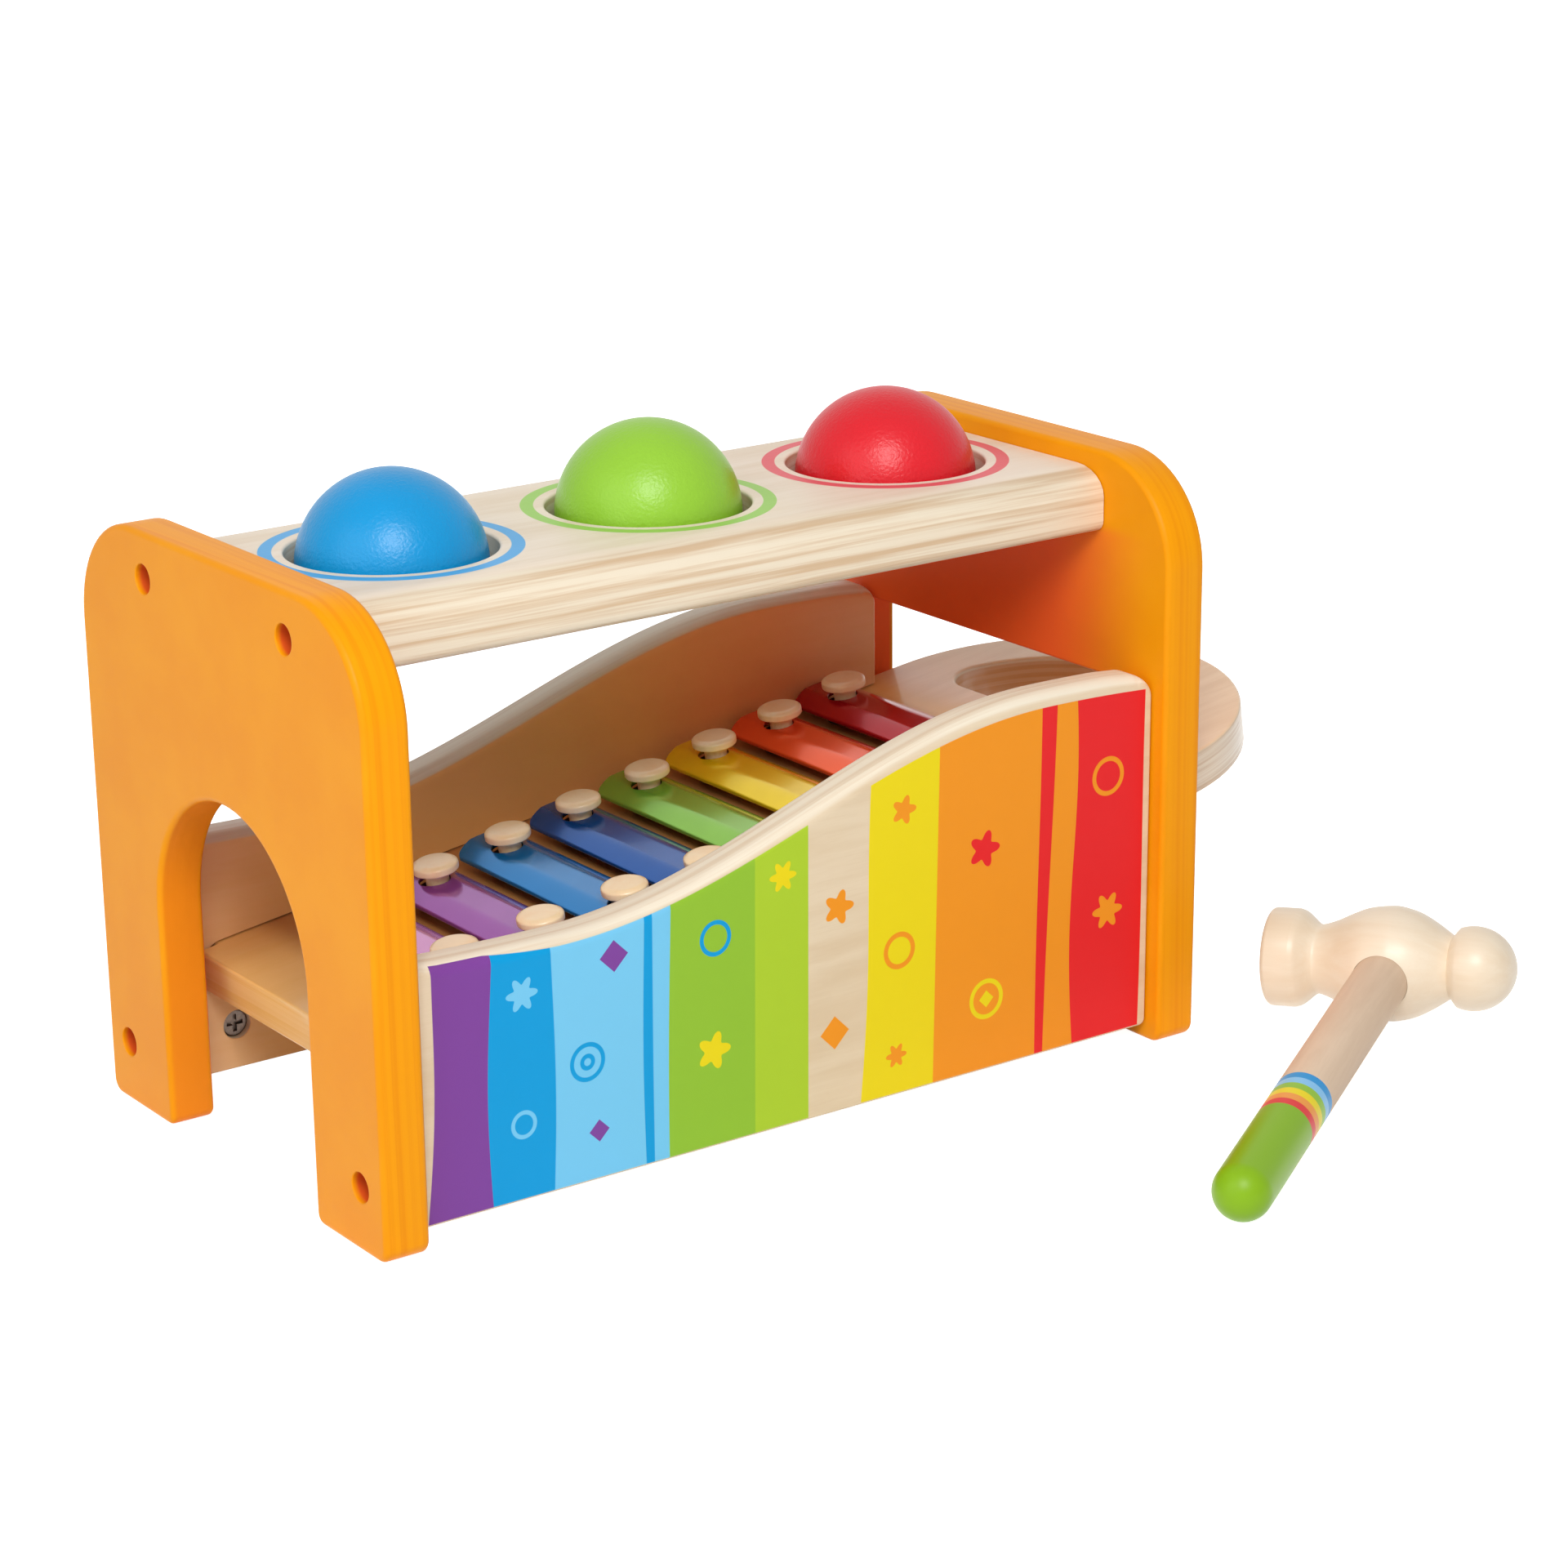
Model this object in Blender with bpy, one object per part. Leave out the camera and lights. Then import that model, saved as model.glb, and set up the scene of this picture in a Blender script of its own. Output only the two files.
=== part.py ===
"""A wooden pounding bench with a xylophone inside, and its mallet.

Two end panels carry a top board and a front and a back board. Three balls sit in rubber rings in the
top board. Knocked through, they drop on a sloping xylophone, which slides out past the right end panel.
In bench coordinates X runs from the left panel's outer face to the right, Y from the middle to the
back, and Z up from the floor. Every length is in metres.
"""

import math

import bmesh
import bpy
from mathutils import Matrix, Vector

# Clearances, and how far a cutter runs past a face
seat_gap = 0.0003
overrun = 0.002

# End panels, with an arch in the left one and a slot in the right one
panel_thick = 0.0127
panel_width = 0.1441
panel_height = 0.1610
panel_top_radius = 0.029
panel_foot_radius = 0.004
panel_edge_radius = 0.0015
inner_length = 0.2318
arch_width = 0.0762
arch_height = 0.0982
arch_foot_radius = 0.003
slot_top = 0.0996
slot_side_gap = 0.0017
slot_floor_gap = 0.0008
slot_corner_radius = 0.003

# Top board
top_thick = 0.017
top_width = 0.0916
top_below_panels = 0.0049
top_edge_across = 0.011
top_edge_down = 0.0075
top_under_radius = 0.003

# Balls, and the rubber rings that hold them. The heights run from the top board's top face
ball_radius = 0.0245
ball_names = ("left", "middle", "right")
ball_heights = (-0.0044, -0.0026, -0.0046)
bore_clearance = 0.0025
ring_section_radius = 0.0022
ring_squeeze = 0.0005
ring_ball_gap = 0.0005

# Front and back boards, with a wave along the top
board_thick = 0.012
board_behind_panels = 0.00515
board_above_floor = 0.0046
wave_low = 0.0711
wave_high = 0.1056
wave_start_share = 0.185
wave_end_share = 0.845
wave_end_change = 0.0010
wave_left_radius = 0.0045
wave_right_radius = 0.0065
wave_from_left = 0.008
wave_from_right = 0.013
wave_edge_radius = 0.0036
wave_rounding_end = 0.0632
board_foot_radius = 0.002
board_edge_radius = 0.0006

# Xylophone deck: a sloping board that slides in grooves
slope = math.radians(8.4)
deck_height = 0.0397
deck_set_in = 0.00575
deck_length = 0.2988
deck_end_length = 0.0564
deck_thick = 0.012
deck_edge_radius = 0.001
slide_groove_depth = 0.007
slide_clearance = 0.0004
slide_groove_start = 0.0009
finger_hole_rim = 0.018
finger_hole_start = 0.0004
finger_hole_corner = 0.010

# Metal bars, from the shortest to the longest
bar_count = 8
bar_width = 0.019
bar_pitch = 0.0246
bar_first = 0.0348
bar_thick = 0.0012
bar_above_deck = 0.00765
bar_flat_width = 0.010
bar_side_fall = 0.0026
bar_end_gap = 0.0005
bar_taper = 0.0172
bar_end_bulge = 0.0018
bar_end_radius = 0.020
bar_corner_radius = 0.003
bar_hole_clearance = 0.0011

# Wooden pins through the bars, and the soft pads below them, one strip of two pads for each bar
pin_neck_radius = 0.0032
pin_head_radius = 0.0063
pin_head_thick = 0.003
pin_head_rim = 0.0014
pin_crown_rise = 0.0026
pin_crown_radius = 0.0038
pin_play = 0.0023
pin_depth = 0.009
pin_inset_first = 0.0137
pin_inset_last = 0.0141
pad_radius = 0.006
pad_strip_width = 0.004
pad_strip_thick = 0.001

# Bolts through the end panels, and the barrel nuts in the boards
bolt_head_radius = 0.0036
bolt_head_thick = 0.0035
bolt_shank_radius = 0.0022
bolt_past_nut = 0.0015
bolt_recess_depth = 0.0088
bolt_socket_radius = 0.0017
bolt_socket_depth = 0.002
nut_radius = 0.00375
nut_length = 0.009
nut_from_panel = 0.0165
nut_cross_width = 0.0011
nut_cross_span = 0.0048
nut_cross_depth = 0.001
top_bolt_from_edge = 0.0098
top_bolt_down = 0.0073
low_bolt_height = 0.0171

# Mallet. Its head is turned: a flat face, a waist, a belly, a groove and a round knob. The turning is
# (radius, reach) points, with the reach measured from the handle's axis towards the knob
face_reach = 0.0342
face_radius = 0.0138
face_edge_radius = 0.0015
belly_radius = 0.016
head_turning = (
    (face_radius, -0.0265),
    (0.0132, -0.0248),
    (0.0119, -0.0231),
    (0.0102, -0.0211),
    (0.0098, -0.0195),
    (0.0112, -0.0154),
    (0.0134, -0.0109),
    (0.0152, -0.0063),
    (belly_radius, -0.0005),
    (0.0158, 0.0028),
    (0.0145, 0.0074),
    (0.0120, 0.0121),
    (0.0087, 0.0170),
)
knob_radius = 0.0118
knob_reach = 0.0228
knob_start = 0.0190
handle_radius = 0.0077
handle_reach = 0.1488
handle_from_axis = 0.003
mallet_heading = math.radians(-58.3)
mallet_right_of_bench = 0.0523
mallet_ahead_of_bench = 0.0228

# How finely the round shapes are cut
bore_steps = 24
ball_segments = 20
ball_rings = 12
turned_steps = 20
handle_steps = 16
small_steps = 8
ring_section_steps = 6
socket_sides = 6
edge_steps = 2
wave_steps = 22
arc_step = math.radians(15)
sharp_angle = math.radians(35)
same_point = 0.00001

# Colour, roughness and metal share of each material
orange_paint = ((0.87, 0.34, 0.03), 0.45, 0.0)
plywood = ((0.78, 0.62, 0.44), 0.5, 0.0)
deck_plywood = ((0.72, 0.50, 0.30), 0.5, 0.0)
pin_wood = ((0.85, 0.70, 0.50), 0.45, 0.0)
mallet_head_wood = ((0.93, 0.77, 0.52), 0.35, 0.0)
mallet_handle_wood = ((0.75, 0.55, 0.36), 0.6, 0.0)
rubber = ((0.03, 0.03, 0.03), 0.85, 0.0)
steel = ((0.45, 0.44, 0.42), 0.4, 1.0)
ball_colours = ((0.0, 0.33, 0.68), (0.33, 0.60, 0.05), (0.75, 0.01, 0.02))
ball_shine = (0.35, 0.0)
bar_colours = (
    (0.75, 0.35, 0.62),
    (0.28, 0.12, 0.50),
    (0.02, 0.20, 0.60),
    (0.02, 0.08, 0.42),
    (0.15, 0.42, 0.05),
    (0.85, 0.55, 0.02),
    (0.80, 0.12, 0.04),
    (0.55, 0.01, 0.03),
)
bar_shine = (0.2, 0.6)

# Places that follow from the sizes
panel_half = panel_width / 2
right_inner_x = panel_thick + inner_length
right_outer_x = right_inner_x + panel_thick
top_z = panel_height - top_below_panels
board_outer_y = panel_half - board_behind_panels
board_inner_y = board_outer_y - board_thick
board_middle_y = (board_outer_y + board_inner_y) / 2
deck_half = board_inner_y + slide_groove_depth - slide_clearance
bore_radius = ball_radius + bore_clearance
bar_hole_radius = pin_neck_radius + bar_hole_clearance
bar_slip = bar_hole_clearance - seat_gap
deck_end_middle = deck_length - deck_end_length
bolt_recess_radius = bolt_head_radius + seat_gap
bolt_length_in_board = nut_from_panel + nut_radius + bolt_past_nut


def clear_scene():
    """Removes whatever the file already holds."""
    for obj in list(bpy.data.objects):
        bpy.data.objects.remove(obj, do_unlink=True)


def surface(name, colour, roughness, metallic):
    """A plain Principled material."""
    made = bpy.data.materials.new(name)
    made.use_nodes = True
    shader = made.node_tree.nodes["Principled BSDF"]
    shader.inputs["Base Color"].default_value = (*colour, 1.0)
    shader.inputs["Roughness"].default_value = roughness
    shader.inputs["Metallic"].default_value = metallic
    return made


def empty(name, location=(0.0, 0.0, 0.0), rotation=(0.0, 0.0, 0.0), parent=None):
    """A frame that pieces are placed in."""
    made = bpy.data.objects.new(name, None)
    made.location = location
    made.rotation_euler = rotation
    made.parent = parent
    bpy.context.collection.objects.link(made)
    return made


def add_object(name, shape, material, parent, location=(0.0, 0.0, 0.0)):
    """Turns a bmesh into a named object under its parent frame."""
    bmesh.ops.recalc_face_normals(shape, faces=shape.faces)
    mesh = bpy.data.meshes.new(name)
    shape.to_mesh(mesh)
    shape.free()
    mesh.shade_smooth()
    mesh.set_sharp_from_angle(angle=sharp_angle)
    if material:
        mesh.materials.append(material)
    made = bpy.data.objects.new(name, mesh)
    made.parent = parent
    made.location = location
    bpy.context.collection.objects.link(made)
    return made


def apply_cutter(target, cutter, operation="DIFFERENCE"):
    """Cuts the target with a hidden shape, or joins that shape to it."""
    cutter.hide_render = True
    cutter.display_type = "WIRE"
    boolean = target.modifiers.new(cutter.name, "BOOLEAN")
    boolean.operation = operation
    boolean.solver = "EXACT"
    boolean.object = cutter


def arc(centre, radius, start, end):
    """Points on an arc from one angle to another, both ends included."""
    count = max(2, math.ceil(abs(end - start) / arc_step))
    angles = [start + (end - start) * step / count for step in range(count + 1)]
    return [(centre[0] + radius * math.cos(a), centre[1] + radius * math.sin(a)) for a in angles]


def ellipse_corner(corner, across, down, start):
    """A quarter of an ellipse inside a corner of an outline that runs anticlockwise."""
    centre = (
        corner[0] - math.copysign(across, math.cos(start + math.pi / 4)),
        corner[1] - math.copysign(down, math.sin(start + math.pi / 4)),
    )
    turns = arc((0.0, 0.0), 1.0, start, start + math.pi / 2)
    return [(centre[0] + across * a, centre[1] + down * b) for a, b in turns]


def without_doubles(points):
    """The points of a closed outline, with each one that repeats the point before it left out."""
    kept = [p for p, q in zip(points, points[-1:] + points[:-1]) if math.dist(p, q) > same_point]
    return kept


def inward_corners(outline):
    """For each point of an outline, the step that moves both its sides inwards by one."""
    steps = []
    for number, here in enumerate(outline):
        before = Vector(here) - Vector(outline[number - 1])
        after = Vector(outline[(number + 1) % len(outline)]) - Vector(here)
        first = Vector((-before.y, before.x)).normalized()
        second = Vector((-after.y, after.x)).normalized()
        steps.append((first + second) / (1 + first.dot(second)))
    return steps


def rounded_outline(corners):
    """An outline from (a, b, radius) corners, each replaced by an arc that touches both its sides."""
    points = []
    for number, (a, b, radius) in enumerate(corners):
        here = Vector((a, b))
        before = (Vector(corners[number - 1][:2]) - here).normalized()
        after = (Vector(corners[(number + 1) % len(corners)][:2]) - here).normalized()
        half = before.angle(after) / 2
        centre = here + (before + after).normalized() * radius / math.sin(half)
        first = here + before * radius / math.tan(half) - centre
        turn = first.angle_signed(here + after * radius / math.tan(half) - centre)
        start = math.atan2(first.y, first.x)
        points += arc(centre, radius, start, start - turn)
    return without_doubles(points)


def prism(outline, low, high, place, edge_radius_at=None):
    """Extrudes an anticlockwise outline from low to high. place turns (a, b, height) into (x, y, z).

    edge_radius_at gives the rounding of the two rims at the outline's point (a, b). Both rims are then
    rows of points that follow a quarter circle: drawn in at the end face, and out again as they leave it.
    """
    turns = [math.pi / 2]
    if edge_radius_at:
        turns = [math.pi / 2 * step / edge_steps for step in range(edge_steps + 1)]
    radii = [edge_radius_at(a, b) if edge_radius_at else 0.0 for a, b in outline]
    rows = []
    for end, direction in ((low, 1.0), (high, -1.0)):
        side = []
        for turn in turns:
            points = zip(outline, inward_corners(outline), radii)
            row = [
                place(
                    a + radius * (1 - math.sin(turn)) * inside[0],
                    b + radius * (1 - math.sin(turn)) * inside[1],
                    end + direction * radius * (1 - math.cos(turn)),
                )
                for (a, b), inside, radius in points
            ]
            side.append(row)
        rows += side if direction > 0 else side[::-1]
    shape = bmesh.new()
    corners = [[shape.verts.new(point) for point in row] for row in rows]
    shape.faces.new(corners[0])
    shape.faces.new(corners[-1])
    count = len(outline)
    for near, far in zip(corners, corners[1:]):
        for i in range(count):
            j = (i + 1) % count
            shape.faces.new((near[i], near[j], far[j], far[i]))
    return shape


def across_x(a, b, height):
    """An outline in Y and Z, extruded along X."""
    return (height, a, b)


def across_y(a, b, height):
    """An outline in X and Z, extruded along Y."""
    return (a, height, b)


def across_z(a, b, height):
    """An outline in X and Y, extruded along Z."""
    return (a, b, height)


def same_everywhere(radius):
    """One edge radius for a whole rim."""
    return lambda a, b: radius


def spin_profile(shape, profile, steps, place=Matrix(), closed=False):
    """Adds a turned solid: (radius, height) points spun about Z, then placed by a matrix."""
    own = bmesh.new()
    points = [own.verts.new((radius, 0.0, height)) for radius, height in profile]
    edges = [own.edges.new(pair) for pair in zip(points, points[1:])]
    if closed:
        edges.append(own.edges.new((points[-1], points[0])))
    bmesh.ops.spin(
        own,
        geom=points + edges,
        cent=(0.0, 0.0, 0.0),
        axis=(0.0, 0.0, 1.0),
        angle=math.tau,
        steps=steps,
        use_merge=True,
    )
    bmesh.ops.remove_doubles(own, verts=own.verts, dist=same_point)
    bmesh.ops.transform(own, matrix=place, verts=own.verts)
    bmesh.ops.recalc_face_normals(own, faces=own.faces)
    part = bpy.data.meshes.new("turned")
    own.to_mesh(part)
    own.free()
    shape.from_mesh(part)
    bpy.data.meshes.remove(part)


def turned_along(origin, direction):
    """The matrix that stands a turned solid on a point, with its axis along a direction."""
    turn = Vector(direction).to_track_quat("Z", "Y").to_matrix().to_4x4()
    return Matrix.Translation(origin) @ turn


def bolt_places(side):
    """One panel's four bolts by name, each as the point where it enters the panel's outer face."""
    outer_x = 0.0 if side == "left" else right_outer_x
    rows = (
        ("top_screw", top_width / 2 - top_bolt_from_edge, top_z - top_bolt_down),
        ("low_bolt", board_middle_y, low_bolt_height),
    )
    places = {}
    for kind, distance, height in rows:
        for depth, y in zip(("front", "back"), mirrored(distance)):
            places[f"{kind}_{side}_{depth}"] = Vector((outer_x, y, height))
    return places


def mirrored(value):
    """A distance to the front and the same distance to the back."""
    return (-value, value)


def inward(side):
    """The direction from a panel's outer face into the bench."""
    return Vector((1.0, 0.0, 0.0)) if side == "left" else Vector((-1.0, 0.0, 0.0))


def panel_bores(side, bench):
    """The stepped bores in one end panel, which take the bolts' heads and shanks."""
    shank = bolt_shank_radius + seat_gap
    profile = [
        (0.0, -overrun),
        (bolt_recess_radius, -overrun),
        (bolt_recess_radius, bolt_recess_depth),
        (shank, bolt_recess_depth),
        (shank, panel_thick + overrun),
        (0.0, panel_thick + overrun),
    ]
    shape = bmesh.new()
    for place in bolt_places(side).values():
        spin_profile(shape, profile, small_steps, turned_along(place, inward(side)))
    return add_object(f"bores_of_{side}_panel", shape, None, bench)


def make_left_panel(bench, orange):
    """The left end panel, with a round-topped arch between its two legs."""
    half_arch = arch_width / 2
    outline = rounded_outline(
        [
            (-panel_half, 0.0, panel_foot_radius),
            (-half_arch, 0.0, arch_foot_radius),
            (-half_arch, arch_height, half_arch),
            (half_arch, arch_height, half_arch),
            (half_arch, 0.0, arch_foot_radius),
            (panel_half, 0.0, panel_foot_radius),
            (panel_half, panel_height, panel_top_radius),
            (-panel_half, panel_height, panel_top_radius),
        ]
    )
    solid = prism(outline, 0.0, panel_thick, across_x, same_everywhere(panel_edge_radius))
    panel = add_object("left_end_panel", solid, orange, bench)
    apply_cutter(panel, panel_bores("left", bench))


def deck_floor_at(x):
    """The height of the deck's underside at a place along the bench."""
    return deck_height + (x - panel_thick) * math.tan(slope) - deck_thick / math.cos(slope)


def make_right_panel(bench, orange):
    """The right end panel, with a slot that the xylophone slides through."""
    outline = rounded_outline(
        [
            (-panel_half, 0.0, panel_foot_radius),
            (panel_half, 0.0, panel_foot_radius),
            (panel_half, panel_height, panel_top_radius),
            (-panel_half, panel_height, panel_top_radius),
        ]
    )
    solid = prism(outline, right_inner_x, right_outer_x, across_x, same_everywhere(panel_edge_radius))
    panel = add_object("right_end_panel", solid, orange, bench)

    slot_half = deck_half + slot_side_gap
    slot_floor = deck_floor_at(right_inner_x) - slot_floor_gap
    slot = rounded_outline(
        [
            (-slot_half, slot_floor, slot_corner_radius),
            (slot_half, slot_floor, slot_corner_radius),
            (slot_half, slot_top, slot_corner_radius),
            (-slot_half, slot_top, slot_corner_radius),
        ]
    )
    solid = prism(slot, right_inner_x - overrun, right_outer_x + overrun, across_x)
    apply_cutter(panel, add_object("slot_in_right_panel", solid, None, bench))
    apply_cutter(panel, panel_bores("right", bench))


def ball_x(number):
    """Where a ball stands along the bench: the middle of its third of the top board."""
    return panel_thick + inner_length * (number + 0.5) / len(ball_names)


def ball_z(number):
    """The height of a ball's centre at rest in its ring."""
    return top_z + ball_heights[number]


ring_radius = ball_radius - ring_squeeze + ring_section_radius
ring_below_ball = math.sqrt((ball_radius + ring_section_radius + ring_ball_gap) ** 2 - ring_radius**2)


def ring_z(number):
    """The height of a rubber ring's middle, which touches its ball just under the widest place."""
    return ball_z(number) - ring_below_ball


def make_top_board(bench, wood):
    """The top board: rounded long edges, and three bores with a groove for the rubber rings."""
    half = top_width / 2
    low = top_z - top_thick
    outline = (
        ellipse_corner((-half, low), top_under_radius, top_under_radius, math.pi)
        + ellipse_corner((half, low), top_under_radius, top_under_radius, -math.pi / 2)
        + ellipse_corner((half, top_z), top_edge_across, top_edge_down, 0.0)
        + ellipse_corner((-half, top_z), top_edge_across, top_edge_down, math.pi / 2)
    )
    solid = prism(outline, panel_thick + seat_gap, right_inner_x - seat_gap, across_x)
    board = add_object("top_board", solid, wood, bench)

    shape = bmesh.new()
    groove = ring_radius + ring_section_radius + seat_gap
    groove_half = ring_section_radius + seat_gap
    for number in range(len(ball_names)):
        middle = ring_z(number)
        profile = [
            (0.0, low - overrun),
            (bore_radius, low - overrun),
            (bore_radius, middle - groove_half),
            (groove, middle - groove_half),
            (groove, middle + groove_half),
            (bore_radius, middle + groove_half),
            (bore_radius, top_z + overrun),
            (0.0, top_z + overrun),
        ]
        spin_profile(shape, profile, bore_steps, Matrix.Translation((ball_x(number), 0.0, 0.0)))
    apply_cutter(board, add_object("ball_bores", shape, None, bench))
    apply_cutter(board, bolt_bores("top_screw", bench))


def make_ball(number, bench, paint):
    """One ball, and the rubber ring that holds it in the top board."""
    name = ball_names[number]
    shape = bmesh.new()
    bmesh.ops.create_uvsphere(shape, u_segments=ball_segments, v_segments=ball_rings, radius=ball_radius)
    add_object(f"ball_{name}", shape, paint, bench, (ball_x(number), 0.0, ball_z(number)))

    shape = bmesh.new()
    section = []
    for step in range(ring_section_steps):
        turn = math.tau * step / ring_section_steps
        across = ring_section_radius * math.cos(turn)
        section.append((ring_radius + across, ring_section_radius * math.sin(turn)))
    spin_profile(shape, section, bore_steps, closed=True)
    ring_rubber = surface(f"ring_rubber_{name}", *rubber)
    add_object(f"ball_ring_{name}", shape, ring_rubber, bench, (ball_x(number), 0.0, ring_z(number)))


def wave_z(share):
    """The height of the wave at a share of the board's length: flat, then half a cosine, then flat."""
    if share < wave_start_share:
        return wave_low + wave_end_change * (1 - share / wave_start_share) ** 2
    if share > wave_end_share:
        return wave_high - wave_end_change * ((share - wave_end_share) / (1 - wave_end_share)) ** 2
    phase = (share - wave_start_share) / (wave_end_share - wave_start_share) * math.pi
    return (wave_high + wave_low) / 2 - (wave_high - wave_low) / 2 * math.cos(phase)


def wave_outline():
    """The outline of the front and back boards in X and Z, anticlockwise from the left foot."""
    left = panel_thick + seat_gap
    right = right_inner_x - seat_gap
    first = wave_from_left / (right - left)
    last = 1 - wave_from_right / (right - left)
    shares = [last + (first - last) * step / wave_steps for step in range(wave_steps + 1)]
    wave = [(left + share * (right - left), wave_z(share)) for share in shares]
    foot = board_foot_radius
    low = board_above_floor + foot
    right_z = wave_z(1.0) - wave_right_radius
    left_z = wave_z(0.0) - wave_left_radius
    return (
        arc((left + foot, low), foot, -math.pi, -math.pi / 2)
        + arc((right - foot, low), foot, -math.pi / 2, 0.0)
        + [(right, wave_rounding_end)]
        + arc((right - wave_right_radius, right_z), wave_right_radius, 0.0, math.pi / 2)
        + wave
        + arc((left + wave_left_radius, left_z), wave_left_radius, math.pi / 2, math.pi)
        + [(left, wave_rounding_end)]
    )


def make_wave_board(side, bench, deck, wood):
    """The front or the back board, with the groove that the xylophone slides in."""
    sign = -1.0 if side == "front" else 1.0
    ends = sorted((sign * board_inner_y, sign * board_outer_y))

    def edge_radius(x, z):
        return wave_edge_radius if z > wave_rounding_end else board_edge_radius

    solid = prism(wave_outline(), *ends, across_y, edge_radius)
    board = add_object(f"{side}_board", solid, wood, bench)
    apply_cutter(board, slide_groove(side, sign, deck))
    apply_cutter(board, nut_bores(side, sign, bench))
    apply_cutter(board, bolt_bores("low_bolt", bench))


def slide_groove(side, sign, deck):
    """The cutter of one slide groove, in the deck's frame: a round start, then open to the right."""
    radius = deck_thick / 2 + slide_clearance
    start = slide_groove_start + radius
    end = deck_length + overrun
    outline = arc((start, -deck_thick / 2), radius, math.pi / 2, math.pi * 3 / 2)
    outline += [(end, -deck_thick / 2 - radius), (end, -deck_thick / 2 + radius)]
    reach = sorted((sign * (board_inner_y - overrun), sign * (board_inner_y + slide_groove_depth)))
    return add_object(f"slide_groove_{side}", prism(outline, *reach, across_y), None, deck)


def bolt_bores(kind, bench):
    """The bores that run into a board from both its ends and take the shanks of its bolts."""
    past = bolt_length_in_board + seat_gap
    radius = bolt_shank_radius + seat_gap
    profile = [(0.0, -overrun), (radius, -overrun), (radius, past), (0.0, past)]
    shape = bmesh.new()
    for side in ("left", "right"):
        for name, place in bolt_places(side).items():
            if kind in name:
                mouth = place + inward(side) * panel_thick
                spin_profile(shape, profile, small_steps, turned_along(mouth, inward(side)))
    return add_object(f"bores_for_{kind}", shape, None, bench)


def nut_middle(side, sign):
    """Where a low bolt crosses its barrel nut."""
    depth = "front" if sign < 0 else "back"
    return bolt_places(side)[f"low_bolt_{side}_{depth}"] + inward(side) * (panel_thick + nut_from_panel)


def nut_bores(name, sign, bench):
    """The blind bores in a board's inner face that take its two barrel nuts."""
    radius = nut_radius + seat_gap
    depth = nut_length / 2 + seat_gap
    profile = [(0.0, -depth), (radius, -depth), (radius, board_thick), (0.0, board_thick)]
    shape = bmesh.new()
    for side in ("left", "right"):
        along = turned_along(nut_middle(side, sign), (0.0, -sign, 0.0))
        spin_profile(shape, profile, small_steps, along)
    return add_object(f"nut_bores_{name}", shape, None, bench)


def make_bolts(side, bench):
    """One panel's four bolts, each a round head with a hexagon socket and a shank."""
    head_top = bolt_recess_depth - seat_gap - bolt_head_thick
    head_foot = bolt_recess_depth - seat_gap
    tip = panel_thick + bolt_length_in_board
    profile = [
        (0.0, head_top),
        (bolt_head_radius, head_top),
        (bolt_head_radius, head_foot),
        (bolt_shank_radius, head_foot),
        (bolt_shank_radius, tip),
        (0.0, tip),
    ]
    socket = [
        (0.0, head_top - overrun),
        (bolt_socket_radius, head_top - overrun),
        (bolt_socket_radius, head_top + bolt_socket_depth),
        (0.0, head_top + bolt_socket_depth),
    ]
    for name, place in bolt_places(side).items():
        along = turned_along(place, inward(side))
        bolt = bmesh.new()
        spin_profile(bolt, profile, small_steps, along)
        made = add_object(name, bolt, surface(f"{name}_steel", *steel), bench)
        hexagon = bmesh.new()
        spin_profile(hexagon, socket, socket_sides, along)
        apply_cutter(made, add_object(f"socket_of_{name}", hexagon, None, bench))


def make_nut(side, sign, bench):
    """A barrel nut, with a cross hole for its bolt and a driver's cross in the end that shows."""
    depth = "front" if sign < 0 else "back"
    name = f"barrel_nut_{side}_{depth}"
    middle = nut_middle(side, sign)
    along = turned_along(middle, (0.0, -sign, 0.0))
    half = nut_length / 2
    barrel = [(0.0, -half), (nut_radius, -half), (nut_radius, half), (0.0, half)]
    nut = bmesh.new()
    spin_profile(nut, barrel, small_steps, along)
    made = add_object(name, nut, surface(f"{name}_steel", *steel), bench)

    radius = bolt_shank_radius + seat_gap
    reach = nut_radius + overrun
    hole = bmesh.new()
    profile = [(0.0, -reach), (radius, -reach), (radius, reach), (0.0, reach)]
    spin_profile(hole, profile, small_steps, turned_along(middle, inward(side)))
    apply_cutter(made, add_object(f"hole_of_{name}", hole, None, bench))

    arm = nut_cross_span / 2
    slim = nut_cross_width / 2
    half_cross = [(slim, slim), (slim, arm), (-slim, arm), (-slim, slim), (-arm, slim), (-arm, -slim)]
    outline = half_cross + [(-a, -b) for a, b in half_cross]
    cross = prism(outline, half - nut_cross_depth, half + overrun, across_z)
    bmesh.ops.transform(cross, matrix=along, verts=cross.verts)
    apply_cutter(made, add_object(f"cross_of_{name}", cross, None, bench))


def bar_u(number):
    """Where a bar's two pins stand, measured along the deck from its left end."""
    return bar_first + bar_pitch * number


def bar_half_length(number):
    """Half a bar's length. The longest one stays just clear of the front and back boards."""
    share = number / (bar_count - 1)
    return board_inner_y - bar_end_gap - bar_taper * (1 - share)


def pin_y(number):
    """How far a bar's two pins stand from the middle."""
    share = number / (bar_count - 1)
    return bar_half_length(number) - pin_inset_first - (pin_inset_last - pin_inset_first) * share


def flattened(points):
    """Points of the deck's round end, drawn as for a half circle, pressed into half an ellipse."""
    press = deck_end_length / deck_half
    return [(deck_end_middle + (along - deck_end_middle) * press, y) for along, y in points]


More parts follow.
